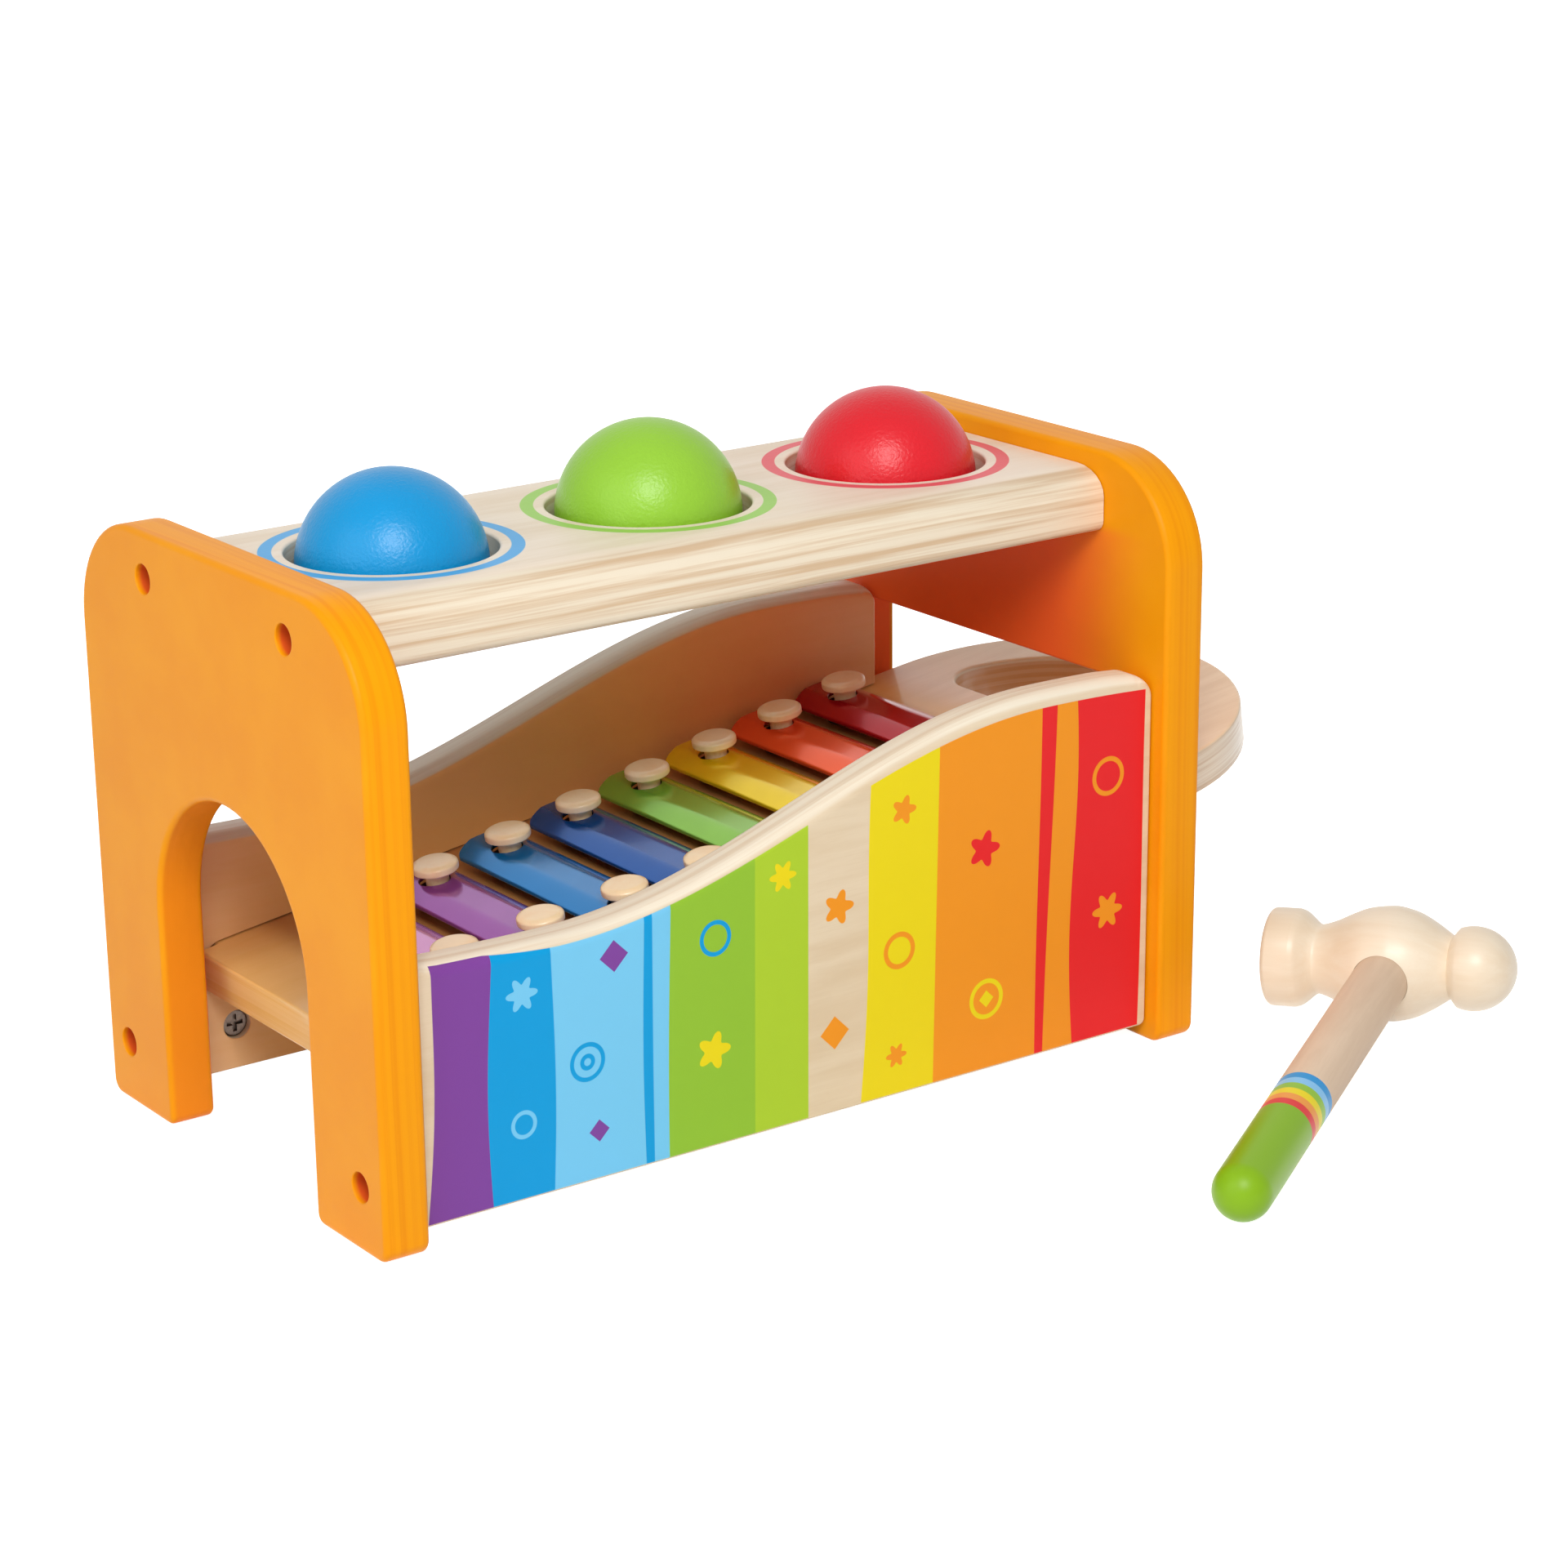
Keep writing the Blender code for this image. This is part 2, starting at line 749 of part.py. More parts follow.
def finger_hole_outline():
    """A D-shaped hole: a straight side across the deck, two round corners and an arc like the deck's end."""
    radius = deck_half - finger_hole_rim
    corner = finger_hole_corner
    start = deck_end_middle + finger_hole_start
    corner_y = math.sqrt((radius - corner) ** 2 - (finger_hole_start + corner) ** 2)
    meet = math.atan2(corner_y, finger_hole_start + corner)
    upper = arc((start + corner, corner_y), corner, meet, math.pi)
    lower = arc((start + corner, -corner_y), corner, math.pi, math.tau - meet)
    return flattened(without_doubles(arc((deck_end_middle, 0.0), radius, -meet, meet) + upper + lower))


def make_deck(deck, wood):
    """The xylophone's board: square at the left, round at the right, with a finger hole there."""
    radius = deck_thick / 2 + slide_clearance
    round_start = radius - math.sqrt(radius**2 - (deck_thick / 2) ** 2)
    shoulder = slide_groove_start + round_start + slide_clearance
    inner = board_inner_y - slide_clearance
    outline = [(0.0, -inner), (shoulder, -inner), (shoulder, -deck_half)]
    outline += flattened(arc((deck_end_middle, 0.0), deck_half, -math.pi / 2, math.pi / 2))
    outline += [(shoulder, deck_half), (shoulder, inner), (0.0, inner)]
    solid = prism(outline, -deck_thick, 0.0, across_z, same_everywhere(deck_edge_radius))
    board = add_object("xylophone_board", solid, wood, deck)
    solid = prism(finger_hole_outline(), -deck_thick - overrun, overrun, across_z)
    apply_cutter(board, add_object("finger_hole", solid, None, deck))

    shape = bmesh.new()
    hole = pin_neck_radius + seat_gap
    profile = [(0.0, -pin_depth), (hole, -pin_depth), (hole, overrun), (0.0, overrun)]
    for number in range(bar_count):
        for y in mirrored(pin_y(number)):
            spin_profile(shape, profile, small_steps, Matrix.Translation((bar_u(number), y, 0.0)))
    apply_cutter(board, add_object("pin_holes", shape, None, deck))


def make_bar(number, deck, paint):
    """One metal bar: a strip with bulging ends whose sides are folded down, and two pin holes.

    It has slipped down the slope as far as the holes let it, until they touch the pins.
    """
    half = bar_half_length(number)
    corner = half - bar_end_bulge
    side = bar_width / 2
    fold = bar_flat_width / 2
    outline = rounded_outline(
        [
            (-side, -corner, bar_corner_radius),
            (0.0, -half, bar_end_radius),
            (side, -corner, bar_corner_radius),
            (side, corner, bar_corner_radius),
            (0.0, half, bar_end_radius),
            (-side, corner, bar_corner_radius),
        ]
    )
    shape = prism(outline, bar_above_deck - bar_thick, bar_above_deck, across_z)
    for x in mirrored(fold):
        everything = shape.verts[:] + shape.edges[:] + shape.faces[:]
        bmesh.ops.bisect_plane(shape, geom=everything, plane_co=(x, 0.0, 0.0), plane_no=(1.0, 0.0, 0.0))
    for corner in shape.verts:
        past_fold = max(0.0, abs(corner.co.x) - fold)
        corner.co.z -= bar_side_fall * past_fold / (side - fold)
    middle = bar_u(number) - bar_slip
    bar = add_object(f"bar_{number + 1}", shape, paint, deck, (middle, 0.0, 0.0))

    shape = bmesh.new()
    low = bar_above_deck - bar_thick - overrun
    high = bar_above_deck + overrun
    profile = [(0.0, low), (bar_hole_radius, low), (bar_hole_radius, high), (0.0, high)]
    for y in mirrored(pin_y(number)):
        spin_profile(shape, profile, small_steps, Matrix.Translation((middle, y, 0.0)))
    apply_cutter(bar, add_object(f"pin_holes_of_bar_{number + 1}", shape, None, deck))


def make_pins(number, deck):
    """The two round-headed pins that hold one bar down on its pads."""
    under = bar_above_deck + pin_play
    rim = under + pin_head_rim
    profile = [
        (0.0, seat_gap - pin_depth),
        (pin_neck_radius, seat_gap - pin_depth),
        (pin_neck_radius, under),
        (pin_head_radius, under),
        (pin_head_radius, rim),
        (pin_crown_radius, under + pin_crown_rise),
        (0.0, under + pin_head_thick),
    ]
    for depth, y in zip(("front", "back"), mirrored(pin_y(number))):
        pin = bmesh.new()
        spin_profile(pin, profile, small_steps, Matrix.Translation((bar_u(number), y, 0.0)))
        name = f"pin_{number + 1}_{depth}"
        add_object(name, pin, surface(f"{name}_wood", *pin_wood), deck)


def make_pad(number, deck):
    """The soft piece under one bar: a round pad at each pin, joined by a thin strip along the deck."""
    fall_share = (pad_radius + bar_slip - bar_flat_width / 2) / (bar_width / 2 - bar_flat_width / 2)
    top = bar_above_deck - bar_thick - seat_gap - bar_side_fall * fall_share
    bore = pin_neck_radius + seat_gap
    x = bar_u(number)
    reach = pin_y(number)
    strip = [
        (x - pad_strip_width / 2, -reach),
        (x + pad_strip_width / 2, -reach),
        (x + pad_strip_width / 2, reach),
        (x - pad_strip_width / 2, reach),
    ]
    solid = prism(strip, seat_gap, seat_gap + pad_strip_thick, across_z)
    name = f"bar_pad_{number + 1}"
    pad = add_object(name, solid, surface(f"{name}_rubber", *rubber), deck)
    rounds = bmesh.new()
    holes = bmesh.new()
    for y in mirrored(reach):
        place = Matrix.Translation((x, y, 0.0))
        round_pad = [(0.0, seat_gap), (pad_radius, seat_gap), (pad_radius, top), (0.0, top)]
        spin_profile(rounds, round_pad, small_steps, place)
        hole = [(0.0, -overrun), (bore, -overrun), (bore, top + overrun), (0.0, top + overrun)]
        spin_profile(holes, hole, small_steps, place)
    apply_cutter(pad, add_object(f"rounds_of_{name}", rounds, None, deck), "UNION")
    apply_cutter(pad, add_object(f"holes_of_{name}", holes, None, deck))


def mallet_profile():
    """The head's turned profile as (radius, reach) points, from the flat face to the end of the knob."""
    edge_centre = (face_radius - face_edge_radius, face_edge_radius - face_reach)
    face_edge = arc(edge_centre, face_edge_radius, -math.pi / 2, 0.0)
    start = -math.asin((knob_reach - knob_start) / knob_radius)
    knob = arc((0.0, knob_reach), knob_radius, start, math.pi / 2)
    tip = (0.0, knob_reach + knob_radius)
    return [(0.0, -face_reach), *face_edge, *head_turning, *knob[:-1], tip]


def make_mallet(light_wood, handle_wood):
    """The mallet, lying on the floor with its handle to the front and left."""
    pitch = math.asin((belly_radius - handle_radius) / handle_reach)
    tilt = math.atan((belly_radius - face_radius) / face_reach)
    frame = empty("mallet_frame", rotation=(pitch, -tilt, mallet_heading))
    shape = bmesh.new()
    spin_profile(shape, mallet_profile(), turned_steps, turned_along((0.0, 0.0, 0.0), (1.0, 0.0, 0.0)))
    head = add_object("mallet_head", shape, light_wood, frame)

    shape = bmesh.new()
    socket = handle_radius + seat_gap
    reach = belly_radius + overrun
    profile = [(0.0, handle_from_axis), (socket, handle_from_axis), (socket, reach), (0.0, reach)]
    down_handle = turned_along((0.0, 0.0, 0.0), (0.0, -1.0, 0.0))
    spin_profile(shape, profile, handle_steps, down_handle)
    apply_cutter(head, add_object("handle_socket", shape, None, frame))

    shape = bmesh.new()
    start = handle_from_axis + seat_gap
    dome = arc((0.0, handle_reach), handle_radius, 0.0, math.pi / 2)
    profile = [(0.0, start), (handle_radius, start)] + dome[:-1] + [(0.0, handle_reach + handle_radius)]
    spin_profile(shape, profile, handle_steps, down_handle)
    handle = add_object("mallet_handle", shape, handle_wood, frame)

    frame.location = (right_outer_x + mallet_right_of_bench, -panel_half - mallet_ahead_of_bench, 0.0)
    frame.location.z = -lowest_and_highest([head, handle])[0].z
    return frame


def lowest_and_highest(objects):
    """The corners of the box round the finished pieces, in world coordinates."""
    bpy.context.view_layer.update()
    graph = bpy.context.evaluated_depsgraph_get()
    low = Vector((math.inf,) * 3)
    high = -low
    for obj in objects:
        finished = obj.evaluated_get(graph)
        for vertex in finished.to_mesh().vertices:
            point = finished.matrix_world @ vertex.co
            low = Vector(map(min, low, point))
            high = Vector(map(max, high, point))
        finished.to_mesh_clear()
    return low, high


clear_scene()

bench_frame = empty("bench_frame")
deck_start = Vector((panel_thick, 0.0, deck_height))
deck_start += deck_set_in * Vector((math.cos(slope), 0.0, math.sin(slope)))
deck_frame = empty("deck_frame", deck_start, (0.0, -slope, 0.0), bench_frame)

make_left_panel(bench_frame, surface("left_panel_paint", *orange_paint))
make_right_panel(bench_frame, surface("right_panel_paint", *orange_paint))
make_top_board(bench_frame, surface("top_board_plywood", *plywood))
for depth_name in ("front", "back"):
    make_wave_board(depth_name, bench_frame, deck_frame, surface(f"{depth_name}_board_plywood", *plywood))
for index, colour in enumerate(ball_colours):
    make_ball(index, bench_frame, surface(f"ball_paint_{ball_names[index]}", colour, *ball_shine))

make_deck(deck_frame, surface("xylophone_board_plywood", *deck_plywood))
for index in range(bar_count):
    make_bar(index, deck_frame, surface(f"bar_paint_{index + 1}", bar_colours[index], *bar_shine))
    make_pins(index, deck_frame)
    make_pad(index, deck_frame)

for end_name in ("left", "right"):
    make_bolts(end_name, bench_frame)
    for way in mirrored(1.0):
        make_nut(end_name, way, bench_frame)

head_look = surface("mallet_head_paint", *mallet_head_wood)
handle_look = surface("mallet_handle_paint", *mallet_handle_wood)
mallet_frame = make_mallet(head_look, handle_look)

# The origin goes to the middle of the whole set's box, on the floor
pieces = [obj for obj in bpy.context.collection.objects if obj.type == "MESH" and not obj.hide_render]
box_low, box_high = lowest_and_highest(pieces)
middle = (box_low + box_high) / 2
for frame in (bench_frame, mallet_frame):
    frame.location.x -= middle.x
    frame.location.y -= middle.y
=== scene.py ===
# %% [markdown]
# # A pounding bench with a xylophone
#
# The real toy is a small wooden bench. Three painted balls sit in rubber rings in its top board, and a
# mallet knocks them through on to a sloping xylophone, which also slides out to be played by itself.
# The solid model already says where every piece is and how it moves. This lesson gives each piece its
# finished surface: soft edges, plywood layers, paint, enamel and turned wood.

# %% Load the solid model
import math

import bmesh
import bpy
import numpy as np
from mathutils import Euler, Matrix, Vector
from mathutils.geometry import tessellate_polygon


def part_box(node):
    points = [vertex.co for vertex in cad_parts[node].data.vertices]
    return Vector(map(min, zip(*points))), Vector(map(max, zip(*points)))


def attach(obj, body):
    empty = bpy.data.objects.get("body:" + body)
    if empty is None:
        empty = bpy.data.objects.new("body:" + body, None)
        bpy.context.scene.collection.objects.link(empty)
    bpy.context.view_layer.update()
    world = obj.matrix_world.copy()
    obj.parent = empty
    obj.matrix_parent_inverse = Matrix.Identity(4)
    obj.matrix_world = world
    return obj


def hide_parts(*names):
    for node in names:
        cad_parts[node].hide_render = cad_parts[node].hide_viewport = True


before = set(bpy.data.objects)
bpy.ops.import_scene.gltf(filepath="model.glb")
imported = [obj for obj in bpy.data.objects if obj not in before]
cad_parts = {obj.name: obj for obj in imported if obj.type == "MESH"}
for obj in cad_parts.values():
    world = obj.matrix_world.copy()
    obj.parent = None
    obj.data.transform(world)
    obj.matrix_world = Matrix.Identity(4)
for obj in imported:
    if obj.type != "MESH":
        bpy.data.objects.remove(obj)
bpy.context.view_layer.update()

# %% [markdown]
# ## Three places to work in
#
# A shape is easiest to describe in its own directions. The bench is measured from the outer face of its
# left panel, the xylophone along its slope, and the mallet along its own head. Each such place has an
# origin and three directions, and all its sizes are in millimetres. One line of arithmetic then carries
# a whole array of points to where the piece stands.

# %% The bench's, the xylophone's and the mallet's places
mm = 0.001
panel_thick = 12.7
panel_width = 144.1
panel_height = 161.0
inner_length = 231.8
left_low, left_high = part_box("left_end_panel")
bench_origin = np.array([left_low.x, (left_low.y + left_high.y) / 2, 0.0])
bench = (bench_origin, np.eye(3))

slope = math.radians(8.4)
deck_set_in = 5.75
deck_height = 39.7
along_slope = np.array([math.cos(slope), 0.0, math.sin(slope)])
off_slope = np.array([-math.sin(slope), 0.0, math.cos(slope)])
deck_corner = np.array([panel_thick, 0.0, deck_height]) + deck_set_in * along_slope
xylophone = (bench_origin + mm * deck_corner, np.array([along_slope, [0.0, 1.0, 0.0], off_slope]))

belly_radius = 16.0
handle_radius = 7.7
handle_reach = 148.8
face_reach = 34.2
face_radius = 13.8
mallet_heading = math.radians(-58.3)
mallet_right_of_bench = 52.3
mallet_ahead_of_bench = 22.8
mallet_axis_height = 16.0
pitch = math.asin((belly_radius - handle_radius) / handle_reach)
tilt = math.atan((belly_radius - face_radius) / face_reach)
mallet_turn = np.array(Euler((pitch, -tilt, mallet_heading)).to_matrix())
mallet_along = 2 * panel_thick + inner_length + mallet_right_of_bench
mallet_spot = np.array([mallet_along, -panel_width / 2 - mallet_ahead_of_bench, mallet_axis_height])
mallet = (bench_origin + mm * mallet_spot, mallet_turn.T)


def to_world(points, home):
    """World points: the home's origin, plus each local size along its own direction."""
    origin, directions = home
    return origin + mm * points @ directions


def to_local(points, home):
    """The reverse: how far each world point lies along the home's three directions, in millimetres."""
    origin, directions = home
    return (points - origin) @ directions.T / mm


print("bench origin:", bench_origin.round(4), "mallet axis:", mallet[0].round(4))

# %% [markdown]
# ## Outlines
#
# Every board of this toy was sawn from a sheet and then rounded over, so each one starts as a closed
# outline. Its corners are arcs that touch both neighbouring sides. The step that moves a point of the
# outline into the wood is kept beside it, because the rounded edges are drawn with it. A hole's outline
# runs the other way round, so that its step also points into the wood.

# %% Arcs and rounded corners
arc_step = math.radians(4.5)
repeat_gap = 0.01


def arc(centre, radius, start, end):
    """Points on a circle: centre + radius * (cosine, sine) of angles spread evenly from start to end."""
    count = max(2, math.ceil(abs(end - start) / arc_step))
    turn = np.linspace(start, end, count + 1)[:, None]
    return np.asarray(centre) + radius * np.hstack([np.cos(turn), np.sin(turn)])


def rounded(corners):
    """A closed outline through (a, b, radius) corners, each cut off by an arc that touches its two sides.

    The arc's centre lies on the corner's bisector, at radius / sin(half the corner's angle).
    """
    spots = np.array([corner[:2] for corner in corners])
    pieces = []
    for number, (a, b, radius) in enumerate(corners):
        here = np.array([a, b])
        back = spots[number - 1] - here
        ahead = spots[(number + 1) % len(corners)] - here
        back, ahead = back / np.linalg.norm(back), ahead / np.linalg.norm(ahead)
        half = math.acos(np.clip(back @ ahead, -1, 1)) / 2
        middle = (back + ahead) / np.linalg.norm(back + ahead)
        centre = here + middle * radius / math.sin(half)
        first = here + back * radius / math.tan(half) - centre
        last = here + ahead * radius / math.tan(half) - centre
        start = math.atan2(first[1], first[0])
        turn = math.atan2(first[0] * last[1] - first[1] * last[0], first @ last)
        pieces.append(arc(centre, radius, start, start + turn))
    return no_repeats(np.vstack(pieces))


def no_repeats(points):
    """The outline without points that lie on the point before them."""
    apart = np.linalg.norm(points - np.roll(points, 1, axis=0), axis=1)
    return points[apart > repeat_gap]


def circle(centre, radius, count=48):
    """A closed circle, anticlockwise."""
    turn = np.linspace(0, 2 * np.pi, count, endpoint=False)[:, None]
    return np.asarray(centre) + radius * np.hstack([np.cos(turn), np.sin(turn)])


def into_wood(points):
    """For each outline point, the step that moves both its sides to their left by one millimetre."""
    side = points - np.roll(points, 1, axis=0)
    left = np.stack([-side[:, 1], side[:, 0]], axis=1) / np.linalg.norm(side, axis=1)[:, None]
    following = np.roll(left, -1, axis=0)
    return (left + following) / (1 + (left * following).sum(axis=1))[:, None]


def as_hole(points):
    """The same outline, run the other way round."""
    return points[::-1]


print("a quarter turn has", len(arc((0.0, 0.0), 1.0, 0.0, np.pi / 2)), "points")

# %% [markdown]
# ## Boards
#
# A board is two flat faces joined by a rim. The rim is a profile carried along the outline: it leaves
# one face, follows a quarter circle to the side, runs straight, and follows another to the other face.
# A bevel tool could do this too, but a profile keeps every edge exactly as round as it should be, and
# the rims of holes and of blind bores are made in the same way. A narrow flat ring beside each rounding
# keeps the shading of the big faces flat. The faces are filled with triangles between the rims.

# %% Rims, bores and whole boards
flat_ring = 0.25
rim_steps = 6


def quarter(edge):
    """A quarter ellipse of (across, down) size, as offsets into the wood and depths below the face."""
    across, down = (np.asarray(size, float).reshape(1, -1) for size in edge)
    turn = np.linspace(0, np.pi / 2, rim_steps + 1)[:, None]
    offsets = np.vstack([across + flat_ring, across * (1 - np.sin(turn))])
    depths = np.vstack([0 * down, down * (1 - np.cos(turn))])
    return offsets, depths


def through_rows(low, high, low_edge, high_edge):
    """The rows of a rim from the low face to the high one, rounded at both."""
    low_offsets, low_depths = quarter(low_edge)
    high_offsets, high_depths = quarter(high_edge)
    width = max(low_offsets.shape[1], high_offsets.shape[1])
    spread = [np.broadcast_to(rows, (len(rows), width)) for rows in (low_offsets, low_depths)]
    other = [np.broadcast_to(rows, (len(rows), width)) for rows in (high_offsets, high_depths)]
    return np.vstack([spread[0], other[0][::-1]]), np.vstack([low + spread[1], high - other[1][::-1]])


def blind_rows(face, floor, edge):
    """The rows of a blind bore, from the face that it opens in down to its flat floor."""
    offsets, depths = quarter((edge, edge))
    way = math.copysign(1, floor - face)
    return np.vstack([offsets, [[0.0]]]), np.vstack([face + way * depths, [[floor]]])


def carried(outline, inward, rows):
    """A grid of points: outline + offset * inward, each at its row's height."""
    offsets, heights = rows
    flat = outline[None] + offsets[..., None] * inward[None]
    level = np.broadcast_to(heights, flat.shape[:2])
    return np.concatenate([flat, level[..., None]], axis=2)


def grid_faces(rows, columns, first=0, closed=False):
    """Quads between neighbouring rows. Columns always close on themselves, and rows do if closed."""
    row = np.arange(rows if closed else rows - 1)[:, None]
    column = np.arange(columns)[None]
    after, beside = (row + 1) % rows, (column + 1) % columns
    corners = [(row, column), (row, beside), (after, beside), (after, column)]
    numbers = [across * columns + along for across, along in corners]
    return (np.stack(numbers, axis=-1).reshape(-1, 4) + first).tolist()


def filled(points, loops):
    """Triangles between closed loops of point numbers, the first round the face and the rest round holes."""
    outlines = [[Vector(points[number]) for number in loop] for loop in loops]
    numbers = np.concatenate(loops)
    return [tuple(int(numbers[corner]) for corner in face) for face in tessellate_polygon(outlines)]


def board(outer, low, high, low_edge, high_edge, holes=(), low_cups=(), high_cups=(), inward=None):
    """A board's points and faces.

    holes are (outline, rows), and cups are (outline, rows) of blind bores in the low or the high face.
    """
    step = into_wood(outer) if inward is None else inward
    walls = [carried(outer, step, through_rows(low, high, low_edge, high_edge))]
    walls += [carried(outline, into_wood(outline), rows) for outline, rows in holes]
    blind = [carried(outline, into_wood(outline), rows) for outline, rows in (*low_cups, *high_cups)]
    points = np.vstack([wall.reshape(-1, 3) for wall in walls + blind])
    faces, low_loops, high_loops, first = [], [], [], 0
    for number, wall in enumerate(walls + blind):
        rows, columns = wall.shape[:2]
        faces += grid_faces(rows, columns, first)
        start = np.arange(columns) + first
        end = start + (rows - 1) * columns
        if number < len(walls):
            low_loops.append(start)
            high_loops.append(end)
        else:
            in_low_face = number < len(walls) + len(low_cups)
            (low_loops if in_low_face else high_loops).append(start)
            faces += filled(points, [end])
        first += rows * columns
    return points, faces + filled(points, low_loops) + filled(points, high_loops)


print("a rounded rim has", len(through_rows(0.0, 10.0, (1.0, 1.0), (1.0, 1.0))[0]), "rows")

# %% [markdown]
# Turned pieces, such as balls, pins and the mallet, come off a lathe, so they are a profile spun about
# an axis. The profile is a list of (radius, height) points, and each point becomes a ring.

# %% Turned pieces
def turned(profile, count, closed=False):
    """(radius, height) points spun about Z: (radius * cos, radius * sin, height) for each angle."""
    profile = np.asarray(profile, float)
    turn = np.linspace(0, 2 * np.pi, count, endpoint=False)[None]
    radius, height = profile[:, :1], profile[:, 1:]
    grid = np.stack([radius * np.cos(turn), radius * np.sin(turn), height + 0 * turn], axis=-1)
    return grid.reshape(-1, 3), grid_faces(len(profile), count, closed=closed)


def rod(radius, start, end):
    """The profile of a plain rod between two heights."""
    return [(0.0, start), (radius, start), (radius, end), (0.0, end)]


def soft_corners(profile, radius, steps=4):
    """The profile with each inner corner replaced by points of a curve that starts and ends radius away.

    The curve is the quadratic one, which weights its start, corner and end by (1 - t)^2, 2t(1 - t), t^2.
    """
    profile = np.asarray(profile, float)
    made = [profile[:1]]
    t = np.linspace(0, 1, steps + 1)[:, None]
    for before, here, after in zip(profile, profile[1:], profile[2:]):
        reach = [min(radius, np.linalg.norm(side - here) / 2) for side in (before, after)]
        start = here + (before - here) / np.linalg.norm(before - here) * reach[0]
        end = here + (after - here) / np.linalg.norm(after - here) * reach[1]
        made.append((1 - t) ** 2 * start + 2 * t * (1 - t) * here + t**2 * end)
    return np.vstack([*made, profile[-1:]])


print("a soft corner has", len(soft_corners([(0.0, 0.0), (1.0, 0.0), (1.0, 1.0)], 0.2)) - 2, "points")

# %% [markdown]
# ## From points to a piece
#
# One function turns points and faces into a finished object. It joins doubled points, points all faces
# outwards, marks only true corners as sharp, and stores each point's own place in millimetres, so that
# grain and print stay with the piece. Then the piece rides on its body, and stands for its CAD node.

# %% Make, cut and keep pieces
sharp_angle = math.radians(38)
doubled_gap = 2e-6
sliver = 1e-7
made_pieces = []


def solid_mesh(name, shells, home):
    """One mesh from several (points, faces) shells, carried from their home to the world."""
    points, faces, first = [], [], 0
    for shell_points, shell_faces in shells:
        points.append(shell_points)
        faces += [tuple(corner + first for corner in face) for face in shell_faces]
        first += len(shell_points)
    mesh = bpy.data.meshes.new(name)
    mesh.from_pydata(to_world(np.vstack(points), home).tolist(), [], faces)
    clean = bmesh.new()
    clean.from_mesh(mesh)
    bmesh.ops.remove_doubles(clean, verts=clean.verts, dist=doubled_gap)
    bmesh.ops.dissolve_degenerate(clean, edges=clean.edges, dist=sliver)
    bmesh.ops.recalc_face_normals(clean, faces=clean.faces)
    clean.to_mesh(mesh)
    clean.free()
    return mesh


def cut_away(mesh, cutters):
    """The mesh with the cutters' shapes taken out of it."""
    target = bpy.data.objects.new("cut", mesh)
    bpy.context.scene.collection.objects.link(target)
    tools = []
    for number, cutter in enumerate(cutters):
        tool = bpy.data.objects.new(f"tool_{number}", cutter)
        bpy.context.scene.collection.objects.link(tool)
        boolean = target.modifiers.new(tool.name, "BOOLEAN")
        boolean.solver, boolean.object = "EXACT", tool
        tools.append(tool)
    bpy.context.view_layer.update()
    finished = bpy.data.meshes.new_from_object(target.evaluated_get(bpy.context.evaluated_depsgraph_get()))
    for used in (target, *tools):
        old = used.data
        bpy.data.objects.remove(used)
        bpy.data.meshes.remove(old)
    return finished


def keep(name, mesh, home, body, look, node):
    """Finishes a mesh as a piece that rides on a body and stands for a CAD node."""
    mesh.shade_smooth()
    mesh.set_sharp_from_angle(angle=sharp_angle)
    world = np.empty(len(mesh.vertices) * 3, np.float32)
    mesh.vertices.foreach_get("co", world)
    place = mesh.attributes.new("place", "FLOAT_VECTOR", "POINT")
    local = to_local(world.reshape(-1, 3).astype(float), home)
    place.data.foreach_set("vector", local.astype(np.float32).ravel())
    mesh.materials.clear()
    mesh.materials.append(look)
    piece = bpy.data.objects.new(name, mesh)
    bpy.context.scene.collection.objects.link(piece)
    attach(piece, body)
    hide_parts(node)
    made_pieces.append(piece)


# %% [markdown]
# ## Values that add their own nodes
#
# A material is a net of nodes, and drawing one by hand takes many clicks. Here a small class stands for a
# node's output, so that a sum or a product of two values adds the Math node that works it out, and a
# recipe reads like a formula. Each value knows which tree it belongs to, so nothing else has to say so.

# %% A value and its sums
class Value:
    """A node's output. Sums, differences, products and quotients of values add their own Math nodes."""

    def __init__(self, socket):
        self.socket = socket

    def __add__(self, other):
        return calc("ADD", self, other)

    def __sub__(self, other):
        return calc("SUBTRACT", self, other)

    def __rsub__(self, other):
        return calc("SUBTRACT", other, self)

    def __mul__(self, other):
        return calc("MULTIPLY", self, other)

    def __truediv__(self, other):
        return calc("DIVIDE", self, other)

    def __abs__(self):
        return calc("ABSOLUTE", self)


def tree_of(values):
    """The tree of the first of some values that is a node's output."""
    return next(value.socket.id_data for value in values if isinstance(value, Value))


def put(tree, kind, inputs=(), **settings):
    """Adds a node. inputs maps a socket's name or number to a plain setting, or to a value to join to it."""
    made = tree.nodes.new(kind)
    for key, setting in settings.items():
        setattr(made, key, setting)
    for key, given in dict(inputs).items():
        if isinstance(given, Value):
            tree.links.new(given.socket, made.inputs[key])
        else:
            made.inputs[key].default_value = given
    return made


def result(kind, inputs, output=0, **settings):
    """Adds a node beside the values that it takes, and gives one of its outputs as a new value."""
    return Value(put(tree_of(inputs.values()), kind, inputs, **settings).outputs[output])


def calc(operation, *values, clamp=False):
    """A Math node's result."""
    return result("ShaderNodeMath", dict(enumerate(values)), operation=operation, use_clamp=clamp)


# %% [markdown]
# ### Nodes that most materials need
#
# Most recipes need the same few nodes. One stretches or shifts a place, one blends two colours, one steps
# softly from 0 to 1, and one makes a cloudy noise. Colours are written as 0 to 255, which is how a painter
# knows them from a screen, and are turned into the linear numbers that the renderer needs.

